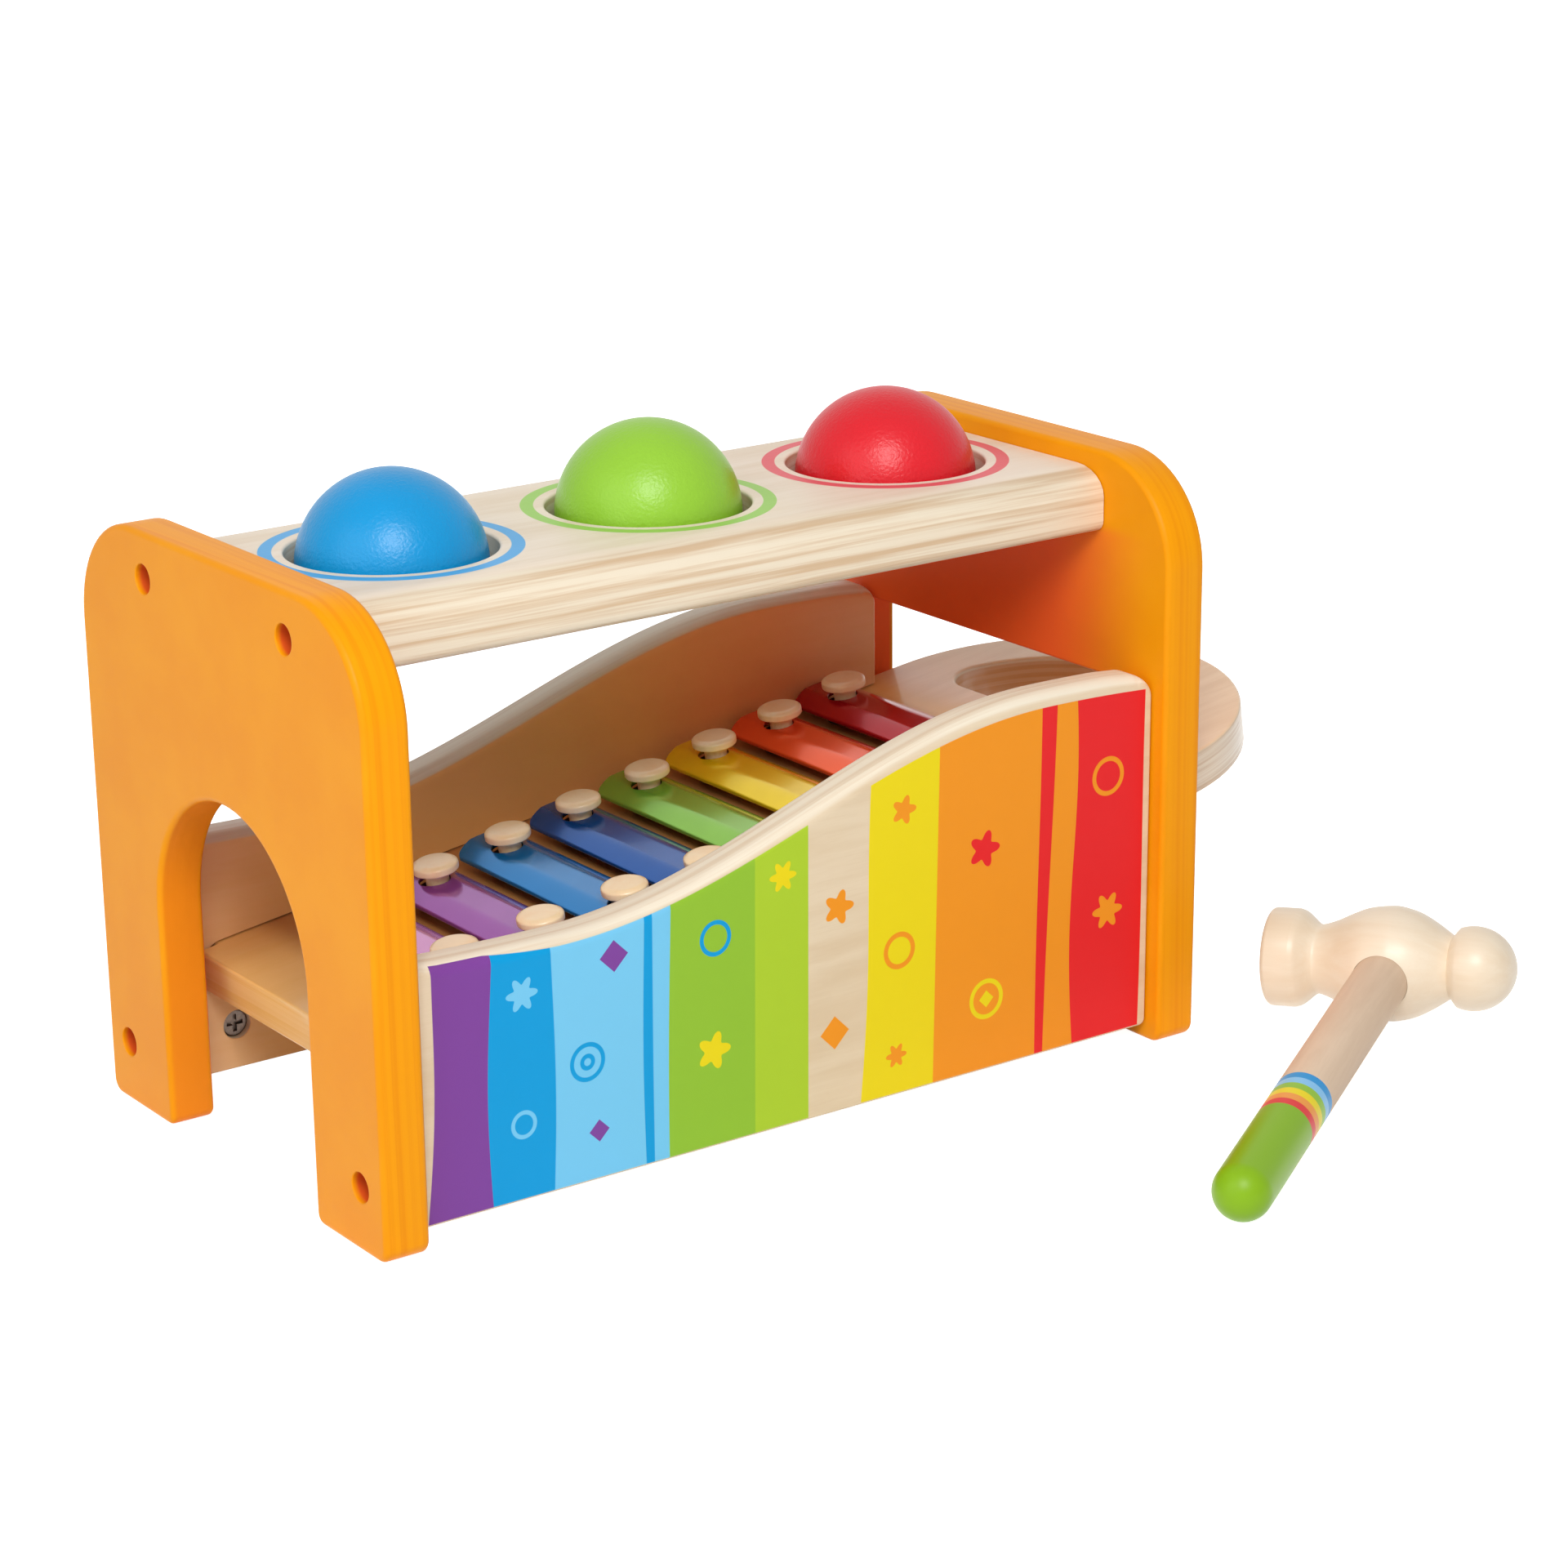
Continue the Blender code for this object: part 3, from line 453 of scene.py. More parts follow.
# %% Vectors, colours and soft steps
def stretch(vector, factors):
    """A vector multiplied by three factors."""
    return result("ShaderNodeVectorMath", {0: vector, 1: factors}, operation="MULTIPLY")


def moved(vector, step):
    """A vector plus another."""
    return result("ShaderNodeVectorMath", {0: vector, 1: step}, operation="ADD")


def packed(*parts):
    """A vector made from three numbers."""
    return result("ShaderNodeCombineXYZ", dict(enumerate(parts)))


def split(vector):
    """The three numbers of a vector."""
    return [Value(part) for part in put(tree_of([vector]), "ShaderNodeSeparateXYZ", {0: vector}).outputs]


def srgb(red, green, blue):
    """A colour as a painter's 0 to 255 values, turned into the linear numbers that the renderer adds up."""
    share = np.array([red, green, blue]) / 255
    linear = np.where(share <= 0.04045, share / 12.92, ((share + 0.055) / 1.055) ** 2.4)
    return (*linear.tolist(), 1.0)


def deeper(colour, share):
    """The same colour at a share of its brightness."""
    return (*(part * share for part in colour[:3]), 1.0)


def mixed(share, first, second):
    """The first colour where share is 0, the second where it is 1."""
    return result("ShaderNodeMix", {0: share, 6: first, 7: second}, 2, data_type="RGBA")


def soft_step(value, start, end):
    """Rises smoothly from 0 at start to 1 at end."""
    return result("ShaderNodeMapRange", {0: value, 1: start, 2: end}, interpolation_type="SMOOTHSTEP")


def noise(vector, scale, detail=3.0, roughness=0.5, distortion=0.0):
    """A cloudy value between 0 and 1."""
    inputs = {"Vector": vector, "Scale": scale, "Detail": detail}
    return result("ShaderNodeTexNoise", {**inputs, "Roughness": roughness, "Distortion": distortion})


print("sky blue in linear light:", [round(part, 3) for part in srgb(120, 202, 240)[:3]])

# %% [markdown]
# ### Materials and groups
#
# Every piece has one Principled shader. Plain settings go on the shader's own sockets, and only what
# changes over the surface is joined by a link. An effect that several materials share is a node group, so
# that it is built once and its sockets have names.

# %% Materials and node groups
def material(name, **settings):
    """A material and its Principled shader, with plain settings on the shader's own sockets."""
    made = bpy.data.materials.new(name)
    made.use_nodes = True
    shader = made.node_tree.nodes["Principled BSDF"]
    for key, setting in settings.items():
        shader.inputs[key.replace("_", " ")].default_value = setting
    return made, shader


def own_place(shader):
    """Each point's place on its own piece, in millimetres."""
    return Value(put(shader.id_data, "ShaderNodeAttribute", attribute_name="place").outputs["Vector"])


def feed(shader, **values):
    """Joins values to the shader's sockets of the same names."""
    for key, value in values.items():
        shader.id_data.links.new(value.socket, shader.inputs[key.replace("_", " ")])


def bumped(shader, height, distance, strength):
    """Lets a height in millimetres tilt the shading."""
    inputs = {"Height": height, "Distance": distance * mm, "Strength": strength}
    feed(shader, Normal=result("ShaderNodeBump", inputs))


def effect(name, inputs, recipe):
    """A node group with named sockets. Its recipe turns its inputs into a dictionary of its outputs."""
    group = bpy.data.node_groups.new(name, "ShaderNodeTree")
    for label, plain in inputs.items():
        kind = "NodeSocketFloat" if isinstance(plain, float) else "NodeSocketVector"
        group.interface.new_socket(label, in_out="INPUT", socket_type=kind).default_value = plain
    enter = group.nodes.new("NodeGroupInput")
    results = recipe(*[Value(enter.outputs[label]) for label in inputs])
    for label in results:
        group.interface.new_socket(label, in_out="OUTPUT", socket_type="NodeSocketFloat")
    leave = group.nodes.new("NodeGroupOutput")
    for label, value in results.items():
        group.links.new(value.socket, leave.inputs[label])
    return group


def placed(group, inputs):
    """A node group's outputs by name, with its inputs filled by name."""
    made = put(tree_of(inputs.values()), "ShaderNodeGroup", inputs, node_tree=group)
    return {output.name: Value(output) for output in made.outputs}


# %% [markdown]
# ## Shared effects
#
# A few effects come back on many pieces, so each is a node group that is built once. Grain is noise that
# is stretched along the fibres. Plywood edges show streaks that are long in the board's plane and a
# millimetre or two thick. Paint has a faint skin of tiny bumps.

# %% Grain, plywood streaks and paint skin
anywhere = (0.0, 0.0, 0.0)
streak_stretch = (0.008, 0.008, 0.008)


def wood_grain(place, seed):
    """Figure: broad soft changes along the fibres. Fibre: fine lines with the same direction."""
    shifted = moved(place, packed(seed, seed, seed))
    figure = noise(stretch(shifted, (0.012, 0.11, 0.11)), 1.0, 4.0, 0.6, 0.35)
    return {"Figure": figure, "Fibre": noise(stretch(shifted, (0.10, 1.9, 1.9)), 1.0, 3.0, 0.6)}


def ply_streaks(place, depth, layer):
    """Streaks: layers of changing darkness across the thickness, drawn out long in the board's plane."""
    long_way = stretch(place, streak_stretch)
    layers_deep = depth / layer
    bent = layers_deep + noise(long_way, 1.0, 2.0) * 1.1
    streak = noise(moved(long_way, packed(0.0, 0.0, bent)), 1.0, 4.0, 0.62)
    wave = calc("SINE", layers_deep * math.pi)
    return {"Streak": streak, "Layer": soft_step(wave, -0.35, 0.35)}


def paint_skin(place, size):
    """Skin: the tiny bumps of sprayed paint."""
    return {"Skin": noise(place, calc("DIVIDE", 1.0, size), 2.0)}


grain_effect = effect("wood_grain", {"Place": anywhere, "Seed": 0.0}, wood_grain)
ply_effect = effect("ply_streaks", {"Place": anywhere, "Depth": 0.0, "Layer": 2.0}, ply_streaks)
skin_effect = effect("paint_skin", {"Place": anywhere, "Size": 1.0}, paint_skin)
print("surface effects:", [group.name for group in (grain_effect, ply_effect, skin_effect)])

# %% [markdown]
# ### Shapes for the prints
#
# The prints need the edge of a stripe, a ring, a flower, a diamond and a wave. Each is worked out as the
# distance past its line, and a soft step over a quarter of a millimetre turns that distance into a mask.
# An image would also do, but it shows its pixels when the camera comes close.

# %% Printed shapes
print_edge = 0.12
print_foot = 4.75
print_height = 90.0
bow_turn = 5.2
lobe_depth = 0.22
left_run, right_run = 3.6, 4.2


def stripe_edge(place, bottom, top, bow):
    """Right: 1 on the right of a line that leans from Bottom to Top, with a soft bow halfway up."""
    x, _, z = split(place)
    share = (z - print_foot) / print_height
    line = bottom + (top - bottom) * share + calc("SINE", share * bow_turn) * bow
    return {"Right": soft_step(x - line, -print_edge, print_edge)}


def printed_mark(a, b, centre_a, centre_b, radius, line, lobes):
    """Three masks round a centre: a ring, a flower whose radius swells in lobes, and a diamond."""
    a, b = a - centre_a, b - centre_b
    distance = calc("SQRT", a * a + b * b)
    lobe = calc("COSINE", calc("ARCTAN2", b, a) * lobes)
    outside = {
        "Ring": abs(distance - radius) - line / 2.0,
        "Flower": distance - radius * (lobe * lobe_depth + (1.0 - lobe_depth)),
        "Diamond": abs(a) + abs(b) - radius,
    }
    return {name: soft_step(past, print_edge, -print_edge) for name, past in outside.items()}


def wave_line(place, low, high, start, end, left, right):
    """Below: 1 under a line that rises from Low to High by half a cosine between Start and End.

    Before Start it comes down by Left from the left end, and after End it comes down by Right once more.
    Both runs count from 0 at the wave to 1 at the board's end.
    """
    x, _, z = split(place)
    share = (x - start) / (end - start)
    cosine = calc("COSINE", calc("ADD", share, 0.0, clamp=True) * math.pi)
    before = calc("MAXIMUM", share * -left_run, 0.0)
    after = calc("MAXIMUM", share * right_run - right_run, 0.0)
    rise = low + (high - low) * (cosine * -0.5 + 0.5)
    line = rise + calc("POWER", before, 1.5) * left - after * after * right
    return {"Below": soft_step(line - z, -print_edge, print_edge)}


stripe_inputs = {"Place": anywhere, "Bottom": 0.0, "Top": 0.0, "Bow": 0.0}
mark_inputs = {"A": 0.0, "B": 0.0, "Centre A": 0.0, "Centre B": 0.0, "Radius": 5.0, "Line": 1.0, "Lobes": 5.0}
wave_sizes = {"Low": 0.0, "High": 0.0, "Start": 0.0, "End": 1.0, "Left": 0.0, "Right": 0.0}
stripe_effect = effect("stripe_edge", stripe_inputs, stripe_edge)
mark_effect = effect("printed_mark", mark_inputs, printed_mark)
wave_effect = effect("wave_line", {"Place": anywhere, **wave_sizes}, wave_line)
print("node groups:", [group.name for group in bpy.data.node_groups])

# %% [markdown]
# ## Plywood
#
# The boards are pale plywood under clear varnish. A flat face shows the grain of one layer, and an edge
# shows all the layers as streaks. Both come from one recipe, because the streaks depend only on how deep
# a point lies in the board: on a flat face that depth doesn't change, and on a rounded edge it does.

# %% Plywood recipe
def grained(place, seed, light, dark, lines):
    """The colour of wood with a broad figure and a share of fine dark lines, and the fibres' height."""
    figure, fibre = placed(grain_effect, {"Place": place, "Seed": seed}).values()
    colour = mixed(soft_step(figure, 0.35, 0.72), light, dark)
    return mixed(soft_step(fibre, 0.45, 0.75) * lines, colour, dark), fibre


def plywood(name, axis, middle, half, seed, face_colours, edge_colours, layer=1.8, specular=0.4):
    """Varnished plywood whose layers lie across one axis. The streaks show only below the face layers."""
    made, shader = material(name, Specular_IOR_Level=specular)
    place = own_place(shader)
    depth = split(place)[axis] - middle
    face, fibre = grained(place, seed, *face_colours, 0.3)
    streak, layers = placed(ply_effect, {"Place": place, "Depth": depth, "Layer": layer}).values()
    edge = mixed(soft_step(streak, 0.40, 0.66), *edge_colours)
    on_edge = soft_step(half - abs(depth), 0.15, 0.7)
    colour = mixed(on_edge, face, edge)
    feed(shader, Base_Color=colour, Roughness=fibre * 0.16 + 0.38)
    bumped(shader, fibre + layers * on_edge * 0.4, 0.02, 0.35)
    return made, shader, colour


# %% [markdown]
# ## Paint and enamel
#
# The end panels are sprayed orange, and at their edges the plywood's layers show faintly through. Inside
# the bench the two panels light each other, and the paint there looks redder. That much bounced light is
# slow to work out and hard to steer, so a part of it is painted into the colour, and so is the shade on
# the walls of the arch, the slot and the bolts' bores.

# %% Sprayed orange paint
half_thick = panel_thick / 2
face_oranges = (srgb(241, 156, 8), srgb(237, 148, 4))
edge_oranges = (srgb(248, 160, 4), srgb(242, 148, 2))
# Painted bounce light for the inner faces, and painted shade for the bolts' bores.
painted_bounce_orange = srgb(251, 104, 45)
bore_shade_orange = srgb(226, 92, 34)


def sprayed_panel(name, middle, inwards, opening_shade_paint):
    """Orange paint whose tone and skin show the plywood's layers wherever the panel's edge is cut.

    The redder inner face, below the top board and away from the front edge, is painted bounce light. The
    walls of the arch and the slot get a painted shade of their own, and the bolts' bores the darkest one.
    """
    made, shader = material(name, Roughness=0.4, Specular_IOR_Level=0.12)
    place = own_place(shader)
    x, y, z = split(place)
    depth, aside = x - middle, abs(y)
    streak, layers = placed(ply_effect, {"Place": place, "Depth": depth, "Layer": 1.7}).values()
    face = mixed(soft_step(noise(place, 0.03), 0.3, 0.7), *face_oranges)
    inner = soft_step(depth * inwards, half_thick - 0.8, half_thick - 0.2)
    # Painted bounce light: the inner face is redder below the top board and away from the front edge.
    face = mixed(inner * soft_step(y, -68.0, -22.0) * soft_step(z, 142.0, 138.0), face, painted_bounce_orange)
    edge = mixed(soft_step(streak, 0.4, 0.65), *edge_oranges)
    # Painted shade on the walls of the arch and the slot, darkest in the bolts' bores.
    openings = soft_step(z, 108.0, 104.0) * soft_step(aside, 69.0, 67.0)
    foot_bores = openings * soft_step(z, 26.0, 24.0) * soft_step(aside, 50.0, 52.0)
    high_bores = soft_step(z, 112.0, 116.0) * soft_step(z, 156.0, 154.0) * soft_step(aside, 44.0, 42.0)
    edge = mixed(openings, edge, opening_shade_paint)
    edge = mixed(calc("MAXIMUM", high_bores, foot_bores), edge, bore_shade_orange)
    on_edge = soft_step(half_thick - abs(depth), 0.3, 2.0)
    feed(shader, Base_Color=mixed(on_edge, face, edge))
    skin = placed(skin_effect, {"Place": place, "Size": 0.5})["Skin"]
    bumped(shader, skin + layers * on_edge * 0.9, 0.03, 0.35)
    return made


# %% [markdown]
# ### Ball paint, enamel and turned wood
#
# The balls have a thick coat of paint, and its small bumps break up the highlight. The metal bars are
# enamelled: smooth colour with a clear gloss, through which the metal still gleams. The pins and the
# mallet are turned, so their fibres run along them, and one recipe serves all by swapping the axes.

# %% Ball paint, enamel and turned wood
def ball_paint(name, colour):
    """A thick coat of paint on a wooden ball, with a fine skin."""
    made, shader = material(name, Roughness=0.33, Specular_IOR_Level=0.34)
    place = own_place(shader)
    feed(shader, Base_Color=mixed(noise(place, 0.05, 2.0), colour, deeper(colour, 0.88)))
    bumped(shader, placed(skin_effect, {"Place": place, "Size": 0.9})["Skin"], 0.15, 0.9)
    return made


def enamel(name, colour, metal):
    """Glossy lacquer through which the sheet metal still shines."""
    made, shader = material(name, Metallic=metal, Coat_Weight=0.3, Coat_Roughness=0.08)
    place = own_place(shader)
    cloud = noise(place, 0.08, 2.0)
    feed(shader, Base_Color=mixed(cloud, colour, deeper(colour, 0.84)), Roughness=cloud * 0.1 + 0.14)
    bumped(shader, placed(skin_effect, {"Place": place, "Size": 3.0})["Skin"], 0.03, 0.2)
    return made


def lathe_wood(name, fibre_order, light, dark, roughness, coat):
    """Turned wood. The fibre order names the axes, and the fibres run along the first of them."""
    made, shader = material(name, Roughness=roughness, Coat_Weight=coat, Coat_Roughness=0.25)
    parts = dict(zip("XYZ", split(own_place(shader))))
    colour, fibre = grained(packed(*[parts[axis] for axis in fibre_order]), 40.0, light, dark, 0.25)
    feed(shader, Base_Color=colour)
    bumped(shader, fibre, 0.012, 0.25)
    return made, shader, colour


# %% [markdown]
# ### Rubber and zinc
#
# The rings and the pads are matt black rubber with a little dust, and the bolts and nuts are plated with
# zinc. All of them are small and mostly in shade, so one cloudy noise for each is enough.

# %% Rubber and zinc
def rubber(name):
    """Matt black rubber with a dusty bloom."""
    made, shader = material(name, Roughness=0.75)
    dust = noise(own_place(shader), 0.6, 4.0)
    feed(shader, Base_Color=mixed(dust, srgb(22, 21, 21), srgb(44, 42, 40)))
    bumped(shader, dust, 0.03, 0.4)
    return made


def zinc(name, light, dark):
    """Dull plated steel with a fine brushed tone."""
    made, shader = material(name, Metallic=1.0)
    spots = noise(own_place(shader), 1.6, 4.0, 0.6)
    feed(shader, Base_Color=mixed(spots, light, dark), Roughness=spots * 0.3 + 0.28)
    return made


# %% [markdown]
# ## End panels
#
# Two panels carry everything. Both are nearly 13 mm thick, with big round shoulders and an edge that was
# rounded over before it was painted. The left one has an arch between its legs, where the balls roll out.
# The right one has a wide slot for the xylophone. Four bolts stand deep in each, in blind bores.

# %% Outline and bores of a panel
panel_half = panel_width / 2
right_inner = panel_thick + inner_length
right_outer = right_inner + panel_thick
panel_edge = (1.5, 1.5)
foot_corner = 4.0
panel_shoulder = 29.0
bolt_bore_radius = 3.9
bolt_bore_depth = 8.8
bolt_bore_edge = 0.35
bolt_spots = [(-36.0, 148.8), (36.0, 148.8), (-60.9, 17.1), (60.9, 17.1)]


def panel_place(shell):
    """Carries (Y, Z, X) points of a panel to the bench's (X, Y, Z)."""
    points, faces = shell
    return points[:, [2, 0, 1]], faces


def bolt_bores(face, floor):
    """The four blind bores of a panel."""
    rows = blind_rows(face, floor, bolt_bore_edge)
    return [(as_hole(circle(spot, bolt_bore_radius)), rows) for spot in bolt_spots]


def panel_outline(foot):
    """A panel's rounded outline, with the foot's own corners between its two outer ones."""
    feet = [(-panel_half, 0.0, foot_corner), *foot, (panel_half, 0.0, foot_corner)]
    tops = [(side * panel_half, panel_height, panel_shoulder) for side in (1, -1)]
    return rounded([*feet, *tops])


print("panel outline:", len(panel_outline([])), "points")

# %% [markdown]
# ### The two panels
#
# The arch is open at the foot, so it is a part of the left panel's outline. The slot is closed, so it is
# a hole with a rim of its own. A Boolean could cut both out of a plain panel, but then every rounded edge
# would have to be bevelled afterwards, and here the same profile rounds them all.

# %% Left and right end panels
arch_half = 38.1
arch_height = 98.2
arch_foot = 3.0
arch_left = [(-arch_half, 0.0, arch_foot), (-arch_half, arch_height, arch_half)]
arch_right = [(arch_half, arch_height, arch_half), (arch_half, 0.0, arch_foot)]
left_shape = board(
    panel_outline(arch_left + arch_right),
    0.0,
    panel_thick,
    panel_edge,
    panel_edge,
    low_cups=bolt_bores(0.0, bolt_bore_depth),
)
slot_half = 63.2
slot_low = 61.0
slot_high = 99.6
slot_corner = 3.0
slot_edge = (0.8, 0.8)
slot = rounded(
    [
        (-slot_half, slot_low, slot_corner),
        (slot_half, slot_low, slot_corner),
        (slot_half, slot_high, slot_corner),
        (-slot_half, slot_high, slot_corner),
    ]
)
right_shape = board(
    panel_outline([]),
    right_inner,
    right_outer,
    panel_edge,
    panel_edge,
    holes=[(as_hole(slot), through_rows(right_inner, right_outer, slot_edge, slot_edge))],
    high_cups=bolt_bores(right_outer, right_outer - bolt_bore_depth),
)
# The last colour of each panel is the painted shade on the walls of its arch or its slot.
panels = [
    ("left", left_shape, half_thick, 1.0, srgb(240, 139, 24)),
    ("right", right_shape, right_outer - half_thick, -1.0, srgb(250, 104, 44)),
]
for side, shape, middle, inwards, opening_shade_paint in panels:
    node = f"{side}_end_panel"
    paint = sprayed_panel(f"orange_paint_{side}", middle, inwards, opening_shade_paint)
    mesh = solid_mesh(node, [panel_place(shape)], bench)
    keep(f"{side}_panel", mesh, bench, "bench", paint, node)
print("end panels:", right_outer, "mm over both")

# %% [markdown]
# ## Top board
#
# The top board is thicker, 17 mm, with a flat elliptical rounding along its two upper edges and three
# bores for the balls. Round each bore a ring is printed in the colour of its ball. The two ends are
# square, so the step into the wood has no part along the bench.

# %% Top board with its bores
end_play = 0.3
top_thick = 17.0
top_high = panel_height - 4.9
top_low = top_high - top_thick
top_half = 45.8
under_edge, upper_edge, mouth_edge = (3.0, 3.0), (11.0, 7.5), (0.8, 0.8)
bore_radius = 27.0
ball_names = ("left", "middle", "right")
ball_spots = [panel_thick + inner_length * (number + 0.5) / 3 for number in range(3)]
ball_heights = [top_high - 4.4, top_high - 2.6, top_high - 4.6]
ring_below_ball = 7.31
groove_radius = 28.7
groove_half = 2.5


def bore_rows(ring_height):
    """The rows of a ball's bore: rounded mouths, and a square groove for the rubber ring."""
    offsets, heights = through_rows(top_low, top_high, mouth_edge, mouth_edge)
    half = len(offsets) // 2
    deep = groove_radius - bore_radius
    groove = [[0.0], [deep], [deep], [0.0]]
    levels = [[ring_height - groove_half]] * 2 + [[ring_height + groove_half]] * 2
    all_offsets = np.vstack([offsets[:half], groove, offsets[half:]])
    return all_offsets, np.vstack([heights[:half], levels, heights[half:]])


board_left = panel_thick + end_play
board_right = right_inner - end_play
top_front = [(board_left, -top_half), (board_right, -top_half)]
top_back = [(board_right, top_half), (board_left, top_half)]
top_inward = np.array([(0.0, 1.0), (0.0, 1.0), (0.0, -1.0), (0.0, -1.0)])
bores = [
    (as_hole(circle((spot, 0.0), bore_radius, 96)), bore_rows(height - ring_below_ball))
    for spot, height in zip(ball_spots, ball_heights)
]
top_outline = np.array(top_front + top_back)
top_shape = board(top_outline, top_low, top_high, under_edge, upper_edge, holes=bores, inward=top_inward)
print("top board:", top_thick, "mm thick, with", len(bores), "bores")

# %% [markdown]
# The rings are printed on the flat upper face only. Each is a ring's mask round its bore, multiplied by a
# mask of that face, so that no paint runs down into the bore.

# %% Varnish and printed rings of the top board
ring_paints = [srgb(82, 170, 226), srgb(158, 206, 92), srgb(230, 92, 100)]
printed_ring = {"Centre B": 0.0, "Radius": 31.65, "Line": 3.5}
top_wood, shader, colour = plywood(
    "top_plywood",
    2,
    (top_low + top_high) / 2,
    top_thick / 2,
    3.0,
    (srgb(244, 228, 208), srgb(234, 214, 188)),
    (srgb(238, 224, 200), srgb(214, 184, 148)),
)
x, y, z = split(own_place(shader))
on_top = soft_step(z, top_high - 0.1, top_high - 0.03)
for spot, paint in zip(ball_spots, ring_paints):
    ring = placed(mark_effect, {"A": x, "B": y, "Centre A": spot, **printed_ring})["Ring"]
    colour = mixed(ring * on_top, colour, paint)
feed(shader, Base_Color=colour)
keep("top", solid_mesh("top", [top_shape], bench), bench, "bench", top_wood, "top_board")
print("top board:", 2 * top_half, "mm wide, bores at", ball_spots)

# %% [markdown]
# ## Front and back boards
#
# The long sides dip and rise like a wave, from low at the arch to high at the slot: nearly flat, then half
# a cosine, then nearly flat. Each was sawn and sanded by itself, so the two waves differ a little. A
# curve drawn by hand would do too, but a formula has no bumps and takes only a few numbers.

# %% The wave and the outline under it
board_inner = 54.9
board_outer = 66.9
board_middle = (board_inner + board_outer) / 2
board_half = (board_outer - board_inner) / 2
board_foot = 4.6
wave_low = 71.1
wave_high = 105.6
wave_spans = {"front": (0.185, 0.845), "back": (0.155, 0.835)}
wave_end_change = 1.0
wave_from_left = 8.0
wave_from_right = 13.0
wave_points = 130
low_corner = 2.0
left_corner = 4.5
right_corner = 6.5
rounding_end = 63.2


def wave_height(share, span):
    """Height of the wave at shares of its length: half a cosine over a span between two nearly flat ends."""
    start, end = span
    phase = np.clip((share - start) / (end - start), 0, 1) * np.pi
    middle = (wave_high + wave_low) / 2 - (wave_high - wave_low) / 2 * np.cos(phase)
    before = wave_end_change * np.clip(1 - share / start, 0, 1) ** 2
    after = wave_end_change * np.clip((share - end) / (1 - end), 0, 1) ** 2
    return middle + before - after


def wave_outline(span):
    """The outline in X and Z, anticlockwise from the left foot."""
    length = board_right - board_left
    share = np.linspace(1 - wave_from_right / length, wave_from_left / length, wave_points)
    left_top, right_top = wave_height(np.array([0.0, 1.0]), span) - (left_corner, right_corner)
    foot_height = board_foot + low_corner
    return np.vstack(
        [
            arc((board_left + low_corner, foot_height), low_corner, -np.pi, -np.pi / 2),
            arc((board_right - low_corner, foot_height), low_corner, -np.pi / 2, 0),
            [(board_right, rounding_end)],
            arc((board_right - right_corner, right_top), right_corner, 0, np.pi / 2),
            np.stack([board_left + share * length, wave_height(share, span)], axis=1),
            arc((board_left + left_corner, left_top), left_corner, np.pi / 2, np.pi),
            [(board_left, rounding_end)],
        ]
    )


print("wave outlines:", {side: len(wave_outline(span)) for side, span in wave_spans.items()}, "points")

# %% [markdown]
# The upper edge of a side board is rounded by 3.6 mm, less towards its ends, and the rest hardly at all.
# On the inner side a groove carries the xylophone, and two bores show the steel barrel nuts that the bolts
# screw into. The bores are part of the board, as in the panels. The groove is cut with a Boolean instead,
# because it crosses the flat face and leaves through the board's end.

# %% Two side boards with their grooves and bores
deck_thick = 12.0
slide_radius = 6.4
slide_start = 0.9
slide_end = 300.8
slide_deep = 7.0
overrun = 2.0
small_round = 0.7
upper_round = 3.6
round_fade = 4.0
nut_inset = 16.5
nut_height = 17.1
nut_bore_radius = 4.05
nut_bore_depth = 10.8
nut_bore_edge = 0.25
nut_spots = [(panel_thick + nut_inset, nut_height), (right_inner - nut_inset, nut_height)]


def side_place(shell):
    """Carries (X, Z, Y) points of a side board to the bench's (X, Y, Z)."""
    points, faces = shell
    return points[:, [0, 2, 1]], faces


def slide_groove(sign):
    """The cutter of the groove, in the xylophone's place: a round start, then straight out at the right."""
    middle = -deck_thick / 2
    start = arc((slide_start + slide_radius, middle), slide_radius, np.pi / 2, 3 * np.pi / 2)
    outline = np.vstack([start, [(slide_end, middle - slide_radius), (slide_end, middle + slide_radius)]])
    reach = sorted((sign * (board_inner - overrun), sign * (board_inner + slide_deep)))
    points = carried(outline, 0 * outline, (np.zeros((2, 1)), np.array(reach)[:, None])).reshape(-1, 3)
    count = len(outline)
    loops = [np.arange(count), np.arange(count) + count]
    faces = grid_faces(2, count) + filled(points, [loops[0]]) + filled(points, [loops[1]])
    return side_place((points, faces))


def side_board(side, sign):
    """A side board's mesh: the wave's outline with its changing rounding, two nut bores and the groove."""
    outline = wave_outline(wave_spans[side])
    from_end = np.minimum(outline[:, 0] - board_left, board_right - outline[:, 0])
    upper_rim = small_round + (upper_round - small_round) * np.clip(from_end / round_fade, 0, 1)
    rim = np.where(outline[:, 1] > rounding_end + 0.1, upper_rim, small_round)
    low, high = sorted((sign * board_inner, sign * board_outer))
    rows = blind_rows(sign * board_inner, sign * (board_inner + nut_bore_depth), nut_bore_edge)
    cups = [(as_hole(circle(spot, nut_bore_radius)), rows) for spot in nut_spots]
    inner_face = {"high_cups": cups} if sign < 0 else {"low_cups": cups}
    shape = side_place(board(outline, low, high, (rim, rim), (rim, rim), **inner_face))
    groove = solid_mesh("groove", [slide_groove(sign)], xylophone)
    return cut_away(solid_mesh(f"{side}_side", [shape], bench), [groove])


side_boards = {side: side_board(side, sign) for side, sign in (("front", -1.0), ("back", 1.0))}
print("side boards:", {side: len(mesh.polygons) for side, mesh in side_boards.items()}, "faces")

# %% [markdown]
# ### The rainbow print
#
# The front board is printed on its outer face and a little way on to the rounding, up to a wave of its
# own just under the top. Each stripe boundary is a line that leans and bows a little. Small flowers, rings
# and diamonds lie on the stripes in plain generic shapes. The print is worked out from each point's place,
# so that it stays sharp at any size. A painted picture would do as well, but it would have to be drawn in
# advance and stretched over the board.

